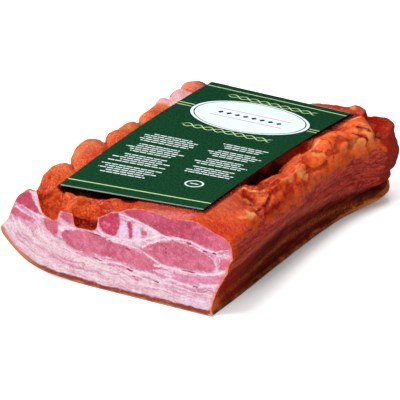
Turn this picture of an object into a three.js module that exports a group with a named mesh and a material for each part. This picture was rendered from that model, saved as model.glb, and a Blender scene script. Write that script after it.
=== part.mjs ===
import * as THREE from "three";

// A flat slab of smoked pancetta, cut across at the front, with a printed card lying on it.
// Millimetres, +Z up. The cut face looks along -Y and the slab rests on its rind at Z = 0.
// The origin is the bottom centre of the bounding box.

// Driving sizes of the slab
const LENGTH = 228;
const WIDTH = 170;

// The right flank is drawn in along its length and comes out again near the far end
const WAIST_AT_RIND = 7;
const WAIST_AT_SHOULDER = 14;
const WAIST_GROWS = [-10, 150];
const WAIST_RECOVERS = [160, 216];
const WAIST_RECOVERY_AT_RIND = 0.9;
const WAIST_RECOVERY_AT_SHOULDER = 0.75;
const WAIST_HEIGHTS = [0, 40];
const RECOVERY_HEIGHTS = [25, 45];

// Driving sizes of the card
const CARD_WIDTH = 102;
const CARD_LENGTH = 184;
const CARD_THICKNESS = 0.6;
const CARD_HEIGHT = 58.7;
const CARD_MIDDLE = [0.3, 111.4];
const CARD_TURN = 0.78;
const CARD_TIP_UP = 1.3;
const CARD_ARCH = 2.7;
const CARD_TWIST = 1.6;
const CARD_CELLS = [10, 18];

// The slab stays this far below the card, and rises again this steeply beside it
const CARD_GAP = 0.6;
const CARD_MARGIN = 4;
const RISE_BESIDE_CARD = 0.3;

// The smooth outline of the slab's cross-section, as [x, z] points, before the relief is added.
// It starts at the rind's right edge and runs under the slab, round the thin left edge,
// over the top and down the right flank.
const UNDERSIDE = [[68.2, 0], [38, 0], [8, 0], [-16, 0], [-34, 0.9]];
const LEFT_EDGE = [[-50, 2.4], [-64, 7.2], [-76, 16.2], [-81.8, 24.3], [-76.2, 32.4], [-72.8, 40.8]];
const TOP = [
  [-67.8, 49.6], [-58.8, 54.6], [-44, 54.5], [-28.5, 54], [-11, 53.8], [2, 54],
  [14, 58.8], [28, 60], [44, 58.8], [58, 60.2], [70, 56.6],
];
const RIGHT_FLANK = [[81, 52.6], [84.2, 46], [84.3, 36.5], [79.2, 28], [73.4, 17], [69.8, 6]];

// How many strips each stretch of the outline is divided into between two of its points
const STRIPS = { underside: 2, leftEdge: 3, top: 5, rightFlank: 3 };

// How far the outward normal must point up to count as top, or sideways to count as flank
const TOP_FACING = [0.2, 0.75];
const FLANK_FACING = [0.35, 0.8];
const RIGHT_SIDE = [10, 64];

// Rib marks: soft pillows between sharp creases that run slantwise over the slab.
// They are highest along the left edge, and each leans away from the cut.
const RIB_SPACING = 39.5;
const RIB_SLANT = 1.2;
const FIRST_RIB_CREASE = -24;
const PILLOW_LEAN = 1.05;
const PILLOW_AT_LEFT_EDGE = { height: 7, roundness: 0.7, sunk: 0.2 };
const PILLOW_IN_MIDDLE = { height: 2, roundness: 0.9, sunk: 0.7 };
const PILLOW_AT_RIGHT = { height: 2.4, roundness: 1, sunk: 0.7 };
const TO_LEFT_EDGE = [-42, -68];
const TO_RIGHT_EDGE = [20, 52];
const PILLOWS_START = [6, 36];

// Hollows and swellings of the top, each along a line from one [x, y] to another.
// rise is in millimetres, and edge is the power of its profile: low is pointed, high is flat.
const FLAT_EDGE = 3;
const DROOP = 0.3;
const TOP_FEATURES = {
  "valley beside the tip": { from: [-46.5, -4], to: [-46.5, 6], reach: [8.3, 9], rise: [-10.5, -8], edge: 4 },
  "valley behind the tip": { from: [-50, 8], to: [-72, 18], reach: [9, 9], rise: [-6, -4], edge: 1.6 },
  "rib pocket": { from: [-20.5, -8], to: [-19.8, -4], reach: [9.9, 9.9], rise: [-8.5, -8.5], edge: 14 },
  "gap under the near edge": { from: [-44, 21], to: [-13, 24], reach: [10, 9], rise: [-7, -4.5], edge: 2.2 },
  "sag behind the cut": { from: [-38, 0], to: [-17, 0], reach: [16, 16], rise: [-8.5, -8], edge: 2.4 },
  "low lip behind the pocket": { from: [-26, 7], to: [-13, 7], reach: [7, 7], rise: [-6, -6], edge: 2 },
  "low first lobe": { from: [-76, 34], to: [-74, 46], reach: [15, 12], rise: [-4.5, -2], edge: 2 },
  "high second lobe": { from: [-74, 78], to: [-74, 98], reach: [18, 18], rise: [2.2, 2.5], edge: 2 },
  "low third lobe": { from: [-72, 108], to: [-54, 120], reach: [18, 18], rise: [-3.5, -4], edge: 2 },
  "low fourth lobe": { from: [-68, 148], to: [-60, 158], reach: [14, 14], rise: [-3, -4.5], edge: 2 },
  "flat fat": { from: [-70, 174], to: [-56, 174], reach: [10, 10], rise: [1.8, 1.8], edge: 4 },
  "low side of the last lobe": { from: [-76, 192], to: [-68, 190], reach: [9, 7], rise: [-5, -2], edge: 2 },
  "low last lobe": { from: [-60, 188], to: [-56, 198], reach: [12, 12], rise: [-3, -3], edge: 2 },
  "hollow under the card": { from: [45, 74], to: [49, 100], reach: [13, 12], rise: [-11, -9], edge: 2.5 },
  "dip beside the card": { from: [52, 104], to: [51, 142], reach: [9, 7], rise: [-7, -4], edge: 2 },
  "crest beside the hollow": { from: [52, 58], to: [57, 66], reach: [8, 8], rise: [3, 2], edge: 2 },
  "pale fat lump": { from: [71, 36], to: [74, 43], reach: [6, 6], rise: [3.2, 3.2], edge: 2 },
  "crack at the pale lump": { from: [64, 58], to: [78, 46], reach: [4, 4], rise: [-2.5, -2.5], edge: 1 },
  "lump by the shoulder": { from: [68, 86], to: [68, 94], reach: [7, 7], rise: [2.5, 2.5], edge: 2 },
  "pale lump by the card": { from: [68, 106], to: [68, 112], reach: [7, 7], rise: [3, 3], edge: 2 },
  "middle lump": { from: [62, 138], to: [62, 146], reach: [9, 9], rise: [3, 3], edge: 2 },
  "large lump": { from: [61, 156], to: [64, 166], reach: [13, 13], rise: [4.5, 4.5], edge: 2 },
  "rib end": { from: [66, 184], to: [76, 178], reach: [10, 10], rise: [3, 3], edge: 4 },
  "far crease": { from: [61, 208], to: [80, 194], reach: [6.5, 6.5], rise: [-9, -8.5], edge: 1.2 },
  "dip by the far lobe": { from: [63, 218], to: [69, 211], reach: [7, 7], rise: [-5, -5], edge: 2 },
  "far right lobe": { from: [78, 214], to: [82, 206], reach: [14, 14], rise: [3, 3.5], edge: 2 },
  "far middle lobe": { from: [46, 214], to: [53, 212], reach: [12, 12], rise: [-1, 2], edge: 2 },
  "fall behind the card": { from: [-46, 224], to: [14, 224], reach: [24, 24], rise: [-6, -9], edge: 2 },
};

// The rib pocket at the cut has steep walls, so its strips are drawn towards them
const POCKET_MIDDLE = -19.8;
const POCKET_HALF_WIDTH = 9.9;
const POCKET_LENGTH = 12;
const POCKET_SQUARENESS = 0.2;

// The right flank has one long groove, under which the fat leans back to the rind
const GROOVE_DEPTH = 2;
const GROOVE_REACH = 5;
const GROOVE_HEIGHT_AT_CUT = 36;
const GROOVE_FALL = 17;
const GROOVE_FALLS = [40, 200];

// At the far right corner the rind flares out and lifts, and a gap opens between it and the fat
const FAR_CORNER_ALONG = [175, 222];
const FAR_CORNER_ACROSS = [20, 66];
const RIND_FLARE = 9;
const RIND_FLARE_HEIGHTS = [62, 8];
const RIND_LIFT = 6;
const RIND_LIFT_HEIGHTS = [24, 2];
const RIND_GAP_DEPTH = 4.5;
const RIND_GAP_HEIGHT = 8.5;
const RIND_GAP_REACH = 2.6;
const RIND_GAP_OPENS = [172, 196];

// The far end closes in a blunt dome
const END_LENGTH = 38;
const END_BLUNTNESS = 3.1;
const END_CENTRE = [0, 24];
const END_RINGS = 11;
const BODY_RINGS = 40;
const RINGS_CLOSER_AT_CUT = 1.275;

// Rises smoothly from 0 to 1 between the two ends of a span.
function smooth([from, to], value) {
  const t = Math.min(1, Math.max(0, (value - from) / (to - from)));
  return t * t * (3 - 2 * t);
}

// The outline's points and outward normals, evenly divided within each stretch.
function outlineColumns() {
  const stretches = [
    [UNDERSIDE, STRIPS.underside],
    [LEFT_EDGE, STRIPS.leftEdge],
    [TOP, STRIPS.top],
    [RIGHT_FLANK, STRIPS.rightFlank],
  ];
  const corners = stretches.flatMap(([points]) => points);
  corners.push(corners[0]);
  const spline = new THREE.SplineCurve(corners.map(([x, z]) => new THREE.Vector2(x, z)));
  const spans = corners.length - 1;
  const columns = [];
  let span = 0;
  for (const [points, strips] of stretches) {
    for (const _ of points) {
      for (let strip = 0; strip < strips; strip++) {
        const t = (span + strip / strips) / spans;
        const point = spline.getPoint(t);
        const ahead = spline.getPoint(Math.min(1, t + 0.002));
        const behind = spline.getPoint(Math.max(0, t - 0.002));
        const along = ahead.sub(behind).normalize();
        columns.push({ x: point.x, z: Math.max(0, point.y), nx: -along.y, nz: along.x });
      }
      span++;
    }
  }
  return columns;
}

// The pillows between the slanting rib creases, fading out towards the cut.
function ribPillow(x, y) {
  const toLeft = smooth(TO_LEFT_EDGE, x);
  const toRight = smooth(TO_RIGHT_EDGE, x);
  function blend(quality) {
    const middle = PILLOW_IN_MIDDLE[quality];
    const left = toLeft * (PILLOW_AT_LEFT_EDGE[quality] - middle);
    const right = toRight * (PILLOW_AT_RIGHT[quality] - middle);
    return middle + left + right;
  }
  const phase = (y + RIB_SLANT * x - FIRST_RIB_CREASE) / RIB_SPACING;
  const across = (phase - Math.floor(phase)) ** PILLOW_LEAN;
  const dome = (4 * across * (1 - across)) ** blend("roundness");
  return blend("height") * (dome - blend("sunk")) * smooth(PILLOWS_START, y);
}

// One hollow or swelling: full height on its line, fading to nothing at its reach.
function featureRise(feature, x, y) {
  const [ax, ay] = feature.from;
  const [bx, by] = feature.to;
  const lengthSquared = (bx - ax) ** 2 + (by - ay) ** 2;
  const along = ((x - ax) * (bx - ax) + (y - ay) * (by - ay)) / lengthSquared;
  const place = Math.min(1, Math.max(0, along));
  const distance = Math.hypot(x - ax - place * (bx - ax), y - ay - place * (by - ay));
  const reach = THREE.MathUtils.lerp(feature.reach[0], feature.reach[1], place);
  const rise = THREE.MathUtils.lerp(feature.rise[0], feature.rise[1], place);
  const out = Math.min(1, distance / reach);
  return rise * (1 - out ** feature.edge) * (feature.edge > FLAT_EDGE ? 1 : 1 - out * DROOP);
}

function topRelief(x, y) {
  let rise = ribPillow(x, y);
  for (const feature of Object.values(TOP_FEATURES)) {
    rise += featureRise(feature, x, y);
  }
  return rise;
}

// How far the right flank is drawn in: most in the middle of its length.
function waist(y, z) {
  const up = smooth(RECOVERY_HEIGHTS, z);
  const recovery = THREE.MathUtils.lerp(WAIST_RECOVERY_AT_RIND, WAIST_RECOVERY_AT_SHOULDER, up);
  const pullIn = smooth(WAIST_GROWS, y) * (1 - recovery * smooth(WAIST_RECOVERS, y));
  const depth = THREE.MathUtils.lerp(WAIST_AT_RIND, WAIST_AT_SHOULDER, smooth(WAIST_HEIGHTS, z));
  return pullIn * depth;
}

// How deep the flank's long groove and the gap above the far rind are, at one height and distance.
function flankHollow(y, z) {
  const grooveHeight = GROOVE_HEIGHT_AT_CUT - GROOVE_FALL * smooth(GROOVE_FALLS, y);
  const fromGroove = (z - grooveHeight) / GROOVE_REACH;
  const fromGap = (z - RIND_GAP_HEIGHT) / RIND_GAP_REACH;
  const groove = GROOVE_DEPTH * Math.max(0, 1 - fromGroove ** 2);
  return groove + RIND_GAP_DEPTH * Math.exp(-(fromGap ** 2)) * smooth(RIND_GAP_OPENS, y);
}

// Where a strip's line runs across the slab, once it is drawn towards the pocket's walls.
function besidePocket(x, y) {
  const out = Math.abs(x - POCKET_MIDDLE) / POCKET_HALF_WIDTH;
  if (out >= 1) {
    return x;
  }
  const drawn = THREE.MathUtils.lerp(out ** POCKET_SQUARENESS, out, smooth([0, POCKET_LENGTH], y));
  return POCKET_MIDDLE + Math.sign(x - POCKET_MIDDLE) * POCKET_HALF_WIDTH * drawn;
}

// A point of the slab's skin, for one column of the outline and one distance from the cut.
function skinPoint(column, y, endScale) {
  let { x, z } = column;
  const topness = smooth(TOP_FACING, column.nz);
  if (topness > 0) {
    x = besidePocket(x, y);
  }
  x -= waist(y, z) * smooth(RIGHT_SIDE, column.x);
  const rise = topRelief(x, y) * topness - flankHollow(y, z) * smooth(FLANK_FACING, column.nx);
  x += rise * column.nx;
  z += rise * column.nz;
  x = END_CENTRE[0] + (x - END_CENTRE[0]) * endScale;
  z = END_CENTRE[1] + (z - END_CENTRE[1]) * endScale;
  const farCorner = smooth(FAR_CORNER_ALONG, y) * smooth(FAR_CORNER_ACROSS, column.x);
  x += RIND_FLARE * farCorner * smooth(RIND_FLARE_HEIGHTS, column.z);
  z += RIND_LIFT * farCorner * smooth(RIND_LIFT_HEIGHTS, column.z);
  return [x, y, z];
}

// The distances of the rings from the cut, with the scale that closes the far end.
function ringPlaces() {
  const places = [];
  const bodyLength = LENGTH - END_LENGTH;
  for (let ring = 0; ring <= BODY_RINGS; ring++) {
    const t = ring / BODY_RINGS;
    places.push({ y: bodyLength * t ** RINGS_CLOSER_AT_CUT, scale: 1 });
  }
  for (let ring = 1; ring < END_RINGS; ring++) {
    const turn = (ring / END_RINGS) * Math.PI / 2;
    const reach = Math.sin(turn) ** (2 / END_BLUNTNESS);
    places.push({ y: bodyLength + END_LENGTH * reach, scale: Math.cos(turn) ** (2 / END_BLUNTNESS) });
  }
  return places;
}

// The card's underside: tipped up to the right, arched along its length and a little twisted.
function cardHeight(x, y) {
  const u = x / (CARD_WIDTH / 2);
  const v = y / (CARD_LENGTH / 2);
  return CARD_HEIGHT + CARD_TIP_UP * u - CARD_ARCH * v * v - CARD_TWIST * u * v;
}

// Where a point of the slab lies on the card, in the card's own axes.
function onCard(x, y) {
  const turn = THREE.MathUtils.degToRad(-CARD_TURN);
  const dx = x - CARD_MIDDLE[0];
  const dy = y - CARD_MIDDLE[1];
  return [dx * Math.cos(turn) - dy * Math.sin(turn), dx * Math.sin(turn) + dy * Math.cos(turn)];
}

// Presses the slab down where the card lies on it.
function pressUnderCard(point) {
  const [u, v] = onCard(point[0], point[1]);
  const acrossCard = Math.abs(u) - CARD_WIDTH / 2 - CARD_MARGIN;
  const alongCard = Math.abs(v) - CARD_LENGTH / 2 - CARD_MARGIN;
  const outside = Math.max(acrossCard, alongCard, 0);
  const limit = cardHeight(u, v) - CARD_GAP + outside * RISE_BESIDE_CARD;
  if (point[2] > limit) {
    point[2] = limit;
  }
}

function facets(triangles) {
  const geometry = new THREE.BufferGeometry();
  geometry.setAttribute("position", new THREE.Float32BufferAttribute(triangles.flat(2), 3));
  geometry.computeVertexNormals();
  return geometry;
}

function pancettaGeometry() {
  const columns = outlineColumns();
  const rings = ringPlaces().map(({ y, scale }) => columns.map((column) => skinPoint(column, y, scale)));
  const all = rings.flat();
  const low = Math.min(...all.map((point) => point[0]));
  const high = Math.max(...all.map((point) => point[0]));
  for (const point of all) {
    point[0] = ((point[0] - low) / (high - low) - 0.5) * WIDTH;
    pressUnderCard(point);
    point[1] -= LENGTH / 2;
  }
  const tip = [END_CENTRE[0], LENGTH / 2, END_CENTRE[1]];

  const triangles = [];
  const count = columns.length;
  for (let ring = 0; ring + 1 < rings.length; ring++) {
    for (let i = 0; i < count; i++) {
      const j = (i + 1) % count;
      const a = rings[ring][i];
      const b = rings[ring][j];
      const c = rings[ring + 1][j];
      const d = rings[ring + 1][i];
      triangles.push([a, b, d], [b, c, d]);
    }
  }
  const last = rings[rings.length - 1];
  for (let i = 0; i < count; i++) {
    triangles.push([last[i], last[(i + 1) % count], tip]);
  }
  const cut = rings[0];
  const contour = cut.map((point) => new THREE.Vector2(point[0], point[2]));
  for (const [a, b, c] of THREE.ShapeUtils.triangulateShape(contour, [])) {
    const facesFront = THREE.ShapeUtils.area([contour[a], contour[b], contour[c]]) > 0;
    triangles.push(facesFront ? [cut[a], cut[b], cut[c]] : [cut[a], cut[c], cut[b]]);
  }
  return facets(triangles);
}

function cardGeometry() {
  const [across, along] = CARD_CELLS;
  const turn = THREE.MathUtils.degToRad(CARD_TURN);
  function corner(i, j, lift) {
    const u = (i / across - 0.5) * CARD_WIDTH;
    const v = (j / along - 0.5) * CARD_LENGTH;
    const x = CARD_MIDDLE[0] + u * Math.cos(turn) - v * Math.sin(turn);
    const y = CARD_MIDDLE[1] + u * Math.sin(turn) + v * Math.cos(turn);
    return [x, y - LENGTH / 2, cardHeight(u, v) + lift];
  }
  const triangles = [];
  function quad(a, b, c, d) {
    triangles.push([a, b, c], [a, c, d]);
  }
  for (let i = 0; i < across; i++) {
    for (let j = 0; j < along; j++) {
      const top = CARD_THICKNESS;
      quad(corner(i, j, top), corner(i + 1, j, top), corner(i + 1, j + 1, top), corner(i, j + 1, top));
      quad(corner(i, j, 0), corner(i, j + 1, 0), corner(i + 1, j + 1, 0), corner(i + 1, j, 0));
    }
  }
  const rim = [];
  for (let i = 0; i < across; i++) rim.push([i, 0]);
  for (let j = 0; j < along; j++) rim.push([across, j]);
  for (let i = across; i > 0; i--) rim.push([i, along]);
  for (let j = along; j > 0; j--) rim.push([0, j]);
  rim.forEach(([i, j], place) => {
    const [k, l] = rim[(place + 1) % rim.length];
    quad(corner(i, j, 0), corner(k, l, 0), corner(k, l, CARD_THICKNESS), corner(i, j, CARD_THICKNESS));
  });
  return facets(triangles);
}

const group = new THREE.Group();
const pancetta = new THREE.Mesh(
  pancettaGeometry(),
  new THREE.MeshStandardMaterial({ color: 0xd8542a, roughness: 0.35, metalness: 0 }),
);
pancetta.name = "pancetta";
group.add(pancetta);

const card = new THREE.Mesh(
  cardGeometry(),
  new THREE.MeshStandardMaterial({ color: 0x1a5236, roughness: 0.45, metalness: 0 }),
);
card.name = "label_card";
group.add(card);

export default group;
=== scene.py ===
# %% [markdown]
# A flat slab of smoked pancetta, cut across at the front, with a green printed card lying on it.
# The slab is one swept shape: a cross-section is drawn once and carried from the cut to the far
# end, and ribs, hollows and lumps are added to it on the way. The frame comes first, because
# every piece is made in its metres and is held to its boxes.

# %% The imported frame
import math
import bpy
import numpy as np
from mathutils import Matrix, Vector
from mathutils.geometry import delaunay_2d_cdt


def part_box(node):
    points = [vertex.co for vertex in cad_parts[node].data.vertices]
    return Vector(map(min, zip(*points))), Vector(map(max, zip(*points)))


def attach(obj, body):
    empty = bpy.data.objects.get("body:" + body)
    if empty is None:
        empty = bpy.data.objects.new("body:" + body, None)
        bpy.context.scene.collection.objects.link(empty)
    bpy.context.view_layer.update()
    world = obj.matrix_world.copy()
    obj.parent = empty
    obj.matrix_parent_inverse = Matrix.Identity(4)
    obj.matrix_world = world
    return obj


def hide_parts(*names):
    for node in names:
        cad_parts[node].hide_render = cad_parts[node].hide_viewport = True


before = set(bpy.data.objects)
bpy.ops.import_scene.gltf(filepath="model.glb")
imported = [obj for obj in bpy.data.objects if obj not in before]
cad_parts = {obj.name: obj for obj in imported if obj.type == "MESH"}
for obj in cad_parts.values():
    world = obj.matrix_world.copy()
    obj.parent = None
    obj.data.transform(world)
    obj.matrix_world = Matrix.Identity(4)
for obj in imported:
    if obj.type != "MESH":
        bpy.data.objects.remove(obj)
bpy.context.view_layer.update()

slab_low, slab_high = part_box("pancetta")
card_low, card_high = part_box("label_card")
MM = 0.001
print("slab, mm:", [round((high - low) / MM, 1) for low, high in zip(slab_low, slab_high)])
print("card, mm:", [round((high - low) / MM, 1) for low, high in zip(card_low, card_high)])

# %% [markdown]
# The photograph looks at the slab from in front of its right corner, a little down, through a
# very long lens: lines that are parallel on the slab stay almost parallel in the picture. A long
# lens far away gives the same flattened look, so the camera stands three and a half metres off.

# %% Camera
CAMERA_AZIMUTH = math.radians(31.2)
CAMERA_ELEVATION = math.radians(23.4)
CAMERA_DISTANCE = 3.5
CAMERA_TARGET = Vector((0.0062, -0.0219, 0.0285))
CAMERA_LENS = 508

camera_data = bpy.data.cameras.new("long_lens")
camera_data.lens = CAMERA_LENS
camera_data.sensor_width = 36
camera_data.clip_end = 20
camera = bpy.data.objects.new("camera", camera_data)
toward_camera = Vector((
    math.sin(CAMERA_AZIMUTH) * math.cos(CAMERA_ELEVATION),
    -math.cos(CAMERA_AZIMUTH) * math.cos(CAMERA_ELEVATION),
    math.sin(CAMERA_ELEVATION),
))
camera.location = CAMERA_TARGET + CAMERA_DISTANCE * toward_camera
camera.rotation_euler = toward_camera.to_track_quat("Z", "Y").to_euler()
bpy.context.scene.collection.objects.link(camera)
bpy.context.scene.camera = camera
print("camera at, m:", [round(value, 3) for value in camera.location])

# %% [markdown]
# Materials and Geometry Nodes are both trees of nodes. Each helper adds a node to the tree in
# hand. A node's output can be reckoned with like a number, so that a sum in the script becomes
# the Math nodes that work it out. A colour is given as screen values, as a picture shows it.

# %% Helpers for node trees


def paint(red, green, blue):
    """A colour picked as screen values from 0 to 255, as the linear colour a shader wants."""
    def linear(value):
        value /= 255
        return value / 12.92 if value <= 0.04045 else ((value + 0.055) / 1.055) ** 2.4
    return (linear(red), linear(green), linear(blue), 1)


def grey(level):
    return (level, level, level, 1)


class Output:
    """A node's output, which can be reckoned with like a number."""

    def __init__(self, socket):
        self.socket = socket

    def __getitem__(self, name):
        """Another output of the same node."""
        return Output(self.socket.node.outputs[name])

    def __add__(self, other):
        return reckon("ADD", self, other)

    def __sub__(self, other):
        return reckon("SUBTRACT", self, other)

    def __rsub__(self, other):
        return reckon("SUBTRACT", other, self)

    def __mul__(self, other):
        return reckon("MULTIPLY", self, other)

    def __truediv__(self, other):
        return reckon("DIVIDE", self, other)

    def __rtruediv__(self, other):
        return reckon("DIVIDE", other, self)

    __radd__, __rmul__ = __add__, __mul__


def fill(socket, value):
    """Gives a socket a number, a vector, a colour as screen values or another node's output."""
    if isinstance(value, Output):
        socket.id_data.links.new(value.socket, socket)
    elif socket.type == "RGBA" and len(value) == 3:
        socket.default_value = paint(*value)
    else:
        socket.default_value = value


def add(kind, sockets=None, output=0, **settings):
    """Adds a node to the tree in hand, fills its sockets and gives back one of its outputs."""
    node = tree.nodes.new(kind)
    for name, value in settings.items():
        setattr(node, name, value)
    for key, value in (sockets or {}).items():
        fill(node.inputs[key], value)
    return Output(node.outputs[output])


def reckon(operation, *values):
    """One sum in a Math node."""
    return add("ShaderNodeMath", dict(enumerate(values)), operation=operation)


def reckon_vector(operation, *values):
    return add("ShaderNodeVectorMath", dict(enumerate(values)), operation=operation)


def axes(vector):
    """The three parts of a vector."""
    parts = add("ShaderNodeSeparateXYZ", {0: vector})
    return parts["X"], parts["Y"], parts["Z"]


def fade(value, low, high, to_low=0.0, to_high=1.0):
    """Smoothly maps low..high to to_low..to_high and holds the ends."""
    sockets = {"Value": value, "From Min": low, "From Max": high, "To Min": to_low, "To Max": to_high}
    return add("ShaderNodeMapRange", sockets, interpolation_type="SMOOTHSTEP")


def blend(share, first, second, way="MIX"):
    """Mixes two colours."""
    return add("ShaderNodeMix", {0: share, 6: first, 7: second}, 2,
               data_type="RGBA", blend_type=way, clamp_factor=True)


def cover(colour, *layers):
    """Lays colours over the first one in turn, each with the share that it covers."""
    for share, over in layers:
        colour = blend(share, colour, over)
    return colour


def noise(place, scale, detail=3.0, roughness=0.55, output="Fac"):
    """A cloudy noise from about 0.3 to 0.7."""
    sockets = {"Vector": place, "Scale": scale, "Detail": detail, "Roughness": roughness}
    return add("ShaderNodeTexNoise", sockets, output)


def streaky(place, scale, detail, roughness, turn=(0, 0, 0)):
    """The same noise with its own scale along each axis, for streaks."""
    stretched = add("ShaderNodeMapping", {"Vector": place, "Scale": scale, "Rotation": turn})
    return noise(stretched, 1, detail, roughness)


def object_place():
    return add("ShaderNodeTexCoord")["Object"]


def mark(name):
    """A number that the mesh carries at each of its points."""
    if tree.type == "GEOMETRY":
        return add("GeometryNodeInputNamedAttribute", {"Name": name}, "Attribute", data_type="FLOAT")
    return add("ShaderNodeAttribute", attribute_name=name)["Fac"]


def new_material(name, **values):
    """A material with its Principled shader. Names use _ for the spaces in socket names."""
    material = bpy.data.materials.new(name)
    material.use_nodes = True
    principled = material.node_tree.nodes["Principled BSDF"].inputs
    for socket, value in values.items():
        fill(principled[socket.replace("_", " ")], value)
    return material, material.node_tree, principled


def surface(colour, height, strength, depth):
    """Gives the material in hand its colour and its bump."""
    fill(shader["Base Color"], colour)
    normal = add("ShaderNodeBump", {"Strength": strength, "Distance": depth, "Height": height})
    fill(shader["Normal"], normal)
    return normal


def new_group(name, kind, passed, numbers, made):
    """A node group with what passes in, its numbers and their starts, and what it makes."""
    group = bpy.data.node_groups.new(name, kind + "NodeTree")
    for title, socket in passed.items():
        group.interface.new_socket(title, in_out="INPUT", socket_type="NodeSocket" + socket)
    for title, start in numbers.items():
        opened = group.interface.new_socket(title, in_out="INPUT", socket_type="NodeSocketFloat")
        opened.default_value = start
    for title, socket in made.items():
        group.interface.new_socket(title, in_out="OUTPUT", socket_type="NodeSocket" + socket)
    return group, group.nodes.new("NodeGroupOutput").inputs


print("helpers ready")

# %% [markdown]
# The light is an even white room with three soft panels: a wide one high in front of the cut
# face, a low one at the left and a small one behind. The room does most of the work, so the shade
# on the floor stays short and soft, as in the photograph. It is drawn only close to the slab's
# right edge. In reflections the room is dark: a wet red surface would otherwise mirror it and
# turn pink. The Standard view keeps a paper-white floor white.

# %% Floor and studio light
FLOOR_SIZE = 8.0
ROOM_STRENGTH = 0.54
ROOM_IN_REFLECTIONS = 0.0
FLOOR_SEEN, FLOOR_AS_LIGHT, FLOOR_MIRRORED = 0.7, 0.96, 0.05
FLOOR_GLOW = 0.52
FLOOR_GLOW_AT_FOOT = 0.14
FLOOR_GLOW_AT_LEFT = 0.3
CONTACT_SHADE_REACH = 0.02
SLAB_MIDDLE = (0, 0, 0.03)
# place, aim, size, power
SOFT_PANELS = {
    "key_panel": ((-0.05, -0.75, 1.65), SLAB_MIDDLE, 0.5, 22),
    "left_panel": ((-1.1, -0.06, 0.45), (0, 0, 0.02), 0.4, 5),
    "back_panel": ((-0.4, 0.9, 1.4), SLAB_MIDDLE, 0.2, 5),
}
bpy.context.scene.view_settings.view_transform = "Standard"

world = bpy.data.worlds.new("white_room")
world.use_nodes = True
tree = world.node_tree
room_light = tree.nodes["Background"].inputs
fill(room_light["Color"], grey(1))
mirrored = add("ShaderNodeLightPath")["Is Glossy Ray"]
fill(room_light["Strength"], fade(mirrored, 0, 1, ROOM_STRENGTH, ROOM_IN_REFLECTIONS))
bpy.context.scene.world = world

for name, (place, aim, size, power) in SOFT_PANELS.items():
    light = bpy.data.lights.new(name, "AREA")
    light.size = size
    light.energy = power
    panel = bpy.data.objects.new(name, light)
    panel.location = place
    panel.rotation_euler = (Vector(place) - Vector(aim)).to_track_quat("Z", "Y").to_euler()
    bpy.context.scene.collection.objects.link(panel)

floor_mesh = bpy.data.meshes.new("floor")
half = FLOOR_SIZE / 2
floor_corners = [(-half, -half, 0), (half, -half, 0), (half, half, 0), (-half, half, 0)]
floor_mesh.from_pydata(floor_corners, [], [(0, 1, 2, 3)])
floor = bpy.data.objects.new("floor", floor_mesh)
bpy.context.scene.collection.objects.link(floor)

floor_material, tree, shader = new_material("pale_floor", Roughness=0.9, Specular_IOR_Level=0.0)
rays = add("ShaderNodeLightPath")
floor_colour = blend(rays["Is Camera Ray"], grey(FLOOR_AS_LIGHT), grey(FLOOR_SEEN))
fill(shader["Base Color"], blend(rays["Is Glossy Ray"], floor_colour, grey(FLOOR_MIRRORED)))
floor_x, floor_y, _ = axes(object_place())
# Painted shadow: the floor's glow is lowered where the slab closes the floor off near its right edge,
# and raised left of the slab, which paints out the shade there.
openness = add("ShaderNodeAmbientOcclusion", {"Distance": CONTACT_SHADE_REACH})["AO"]
beside = fade(floor_x, 0.052, 0.06) * fade(floor_y, -0.12, -0.02, 0.25, 1)
closed_off = fade(openness, 0.95, 0.4) * beside
glow = fade(closed_off, 0, 1, FLOOR_GLOW, FLOOR_GLOW_AT_FOOT)
glow = glow + fade(floor_x, -0.03, -0.06, 0, FLOOR_GLOW_AT_LEFT)
fill(shader["Emission Color"], grey(1))
fill(shader["Emission Strength"], rays["Is Camera Ray"] * glow)
floor_mesh.materials.append(floor_material)
print("floor, m:", FLOOR_SIZE, "panels:", len(SOFT_PANELS))

# %% [markdown]
# The cross-section is a smooth closed curve through a few points: flat along the rind, thin and
# upturned at the left, high and blunt at the right. The same curve is the source of the solid,
# only here it is divided far more finely. A Catmull-Rom curve passes through its points, which
# makes it easy to lay its points one by one.

# %% The cross-section of the slab
LENGTH = 228
UNDERSIDE = [[68.2, 0], [38, 0], [8, 0], [-16, 0], [-34, 0.9]]
LEFT_EDGE = [[-50, 2.4], [-64, 7.2], [-76, 16.2], [-81.8, 24.3], [-76.2, 32.4], [-72.8, 40.8]]
TOP = [
    [-67.8, 49.6], [-58.8, 54.6], [-44, 54.5], [-28.5, 54], [-11, 53.8], [2, 54],
    [14, 58.8], [28, 60], [44, 58.8], [58, 60.2], [70, 56.6],
]
RIGHT_FLANK = [[81, 52.6], [84.2, 46], [84.3, 36.5], [79.2, 28], [73.4, 17], [69.8, 6]]
STRIPS = [(UNDERSIDE, 5), (LEFT_EDGE, 8), (TOP, 18), (RIGHT_FLANK, 10)]


def smooth(low, high, value):
    t = np.clip((value - low) / (high - low), 0, 1)
    return t * t * (3 - 2 * t)


def mix(first, second, amount):
    return first + (second - first) * amount


def bell(value, reach):
    return np.exp(-(value / reach) ** 2)


def curve_through(points, steps, closed):
    """A Catmull-Rom curve through points, with so many steps in each span."""
    points = np.array(points, float)
    count = len(points)
    steps = steps if isinstance(steps, list) else [steps] * (count if closed else count - 1)
    made = []
    for span, divisions in enumerate(steps):
        near = [span - 1, span, span + 1, span + 2]
        near = [i % count for i in near] if closed else [min(max(i, 0), count - 1) for i in near]
        a, b, c, d = points[near]
        for t in np.arange(divisions) / divisions:
            turn = (c - a) * t + (2 * a - 5 * b + 4 * c - d) * t ** 2 + (3 * b - a - 3 * c + d) * t ** 3
            made.append(b + 0.5 * turn)
    if not closed:
        made.append(points[-1])
    return np.array(made)


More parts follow.
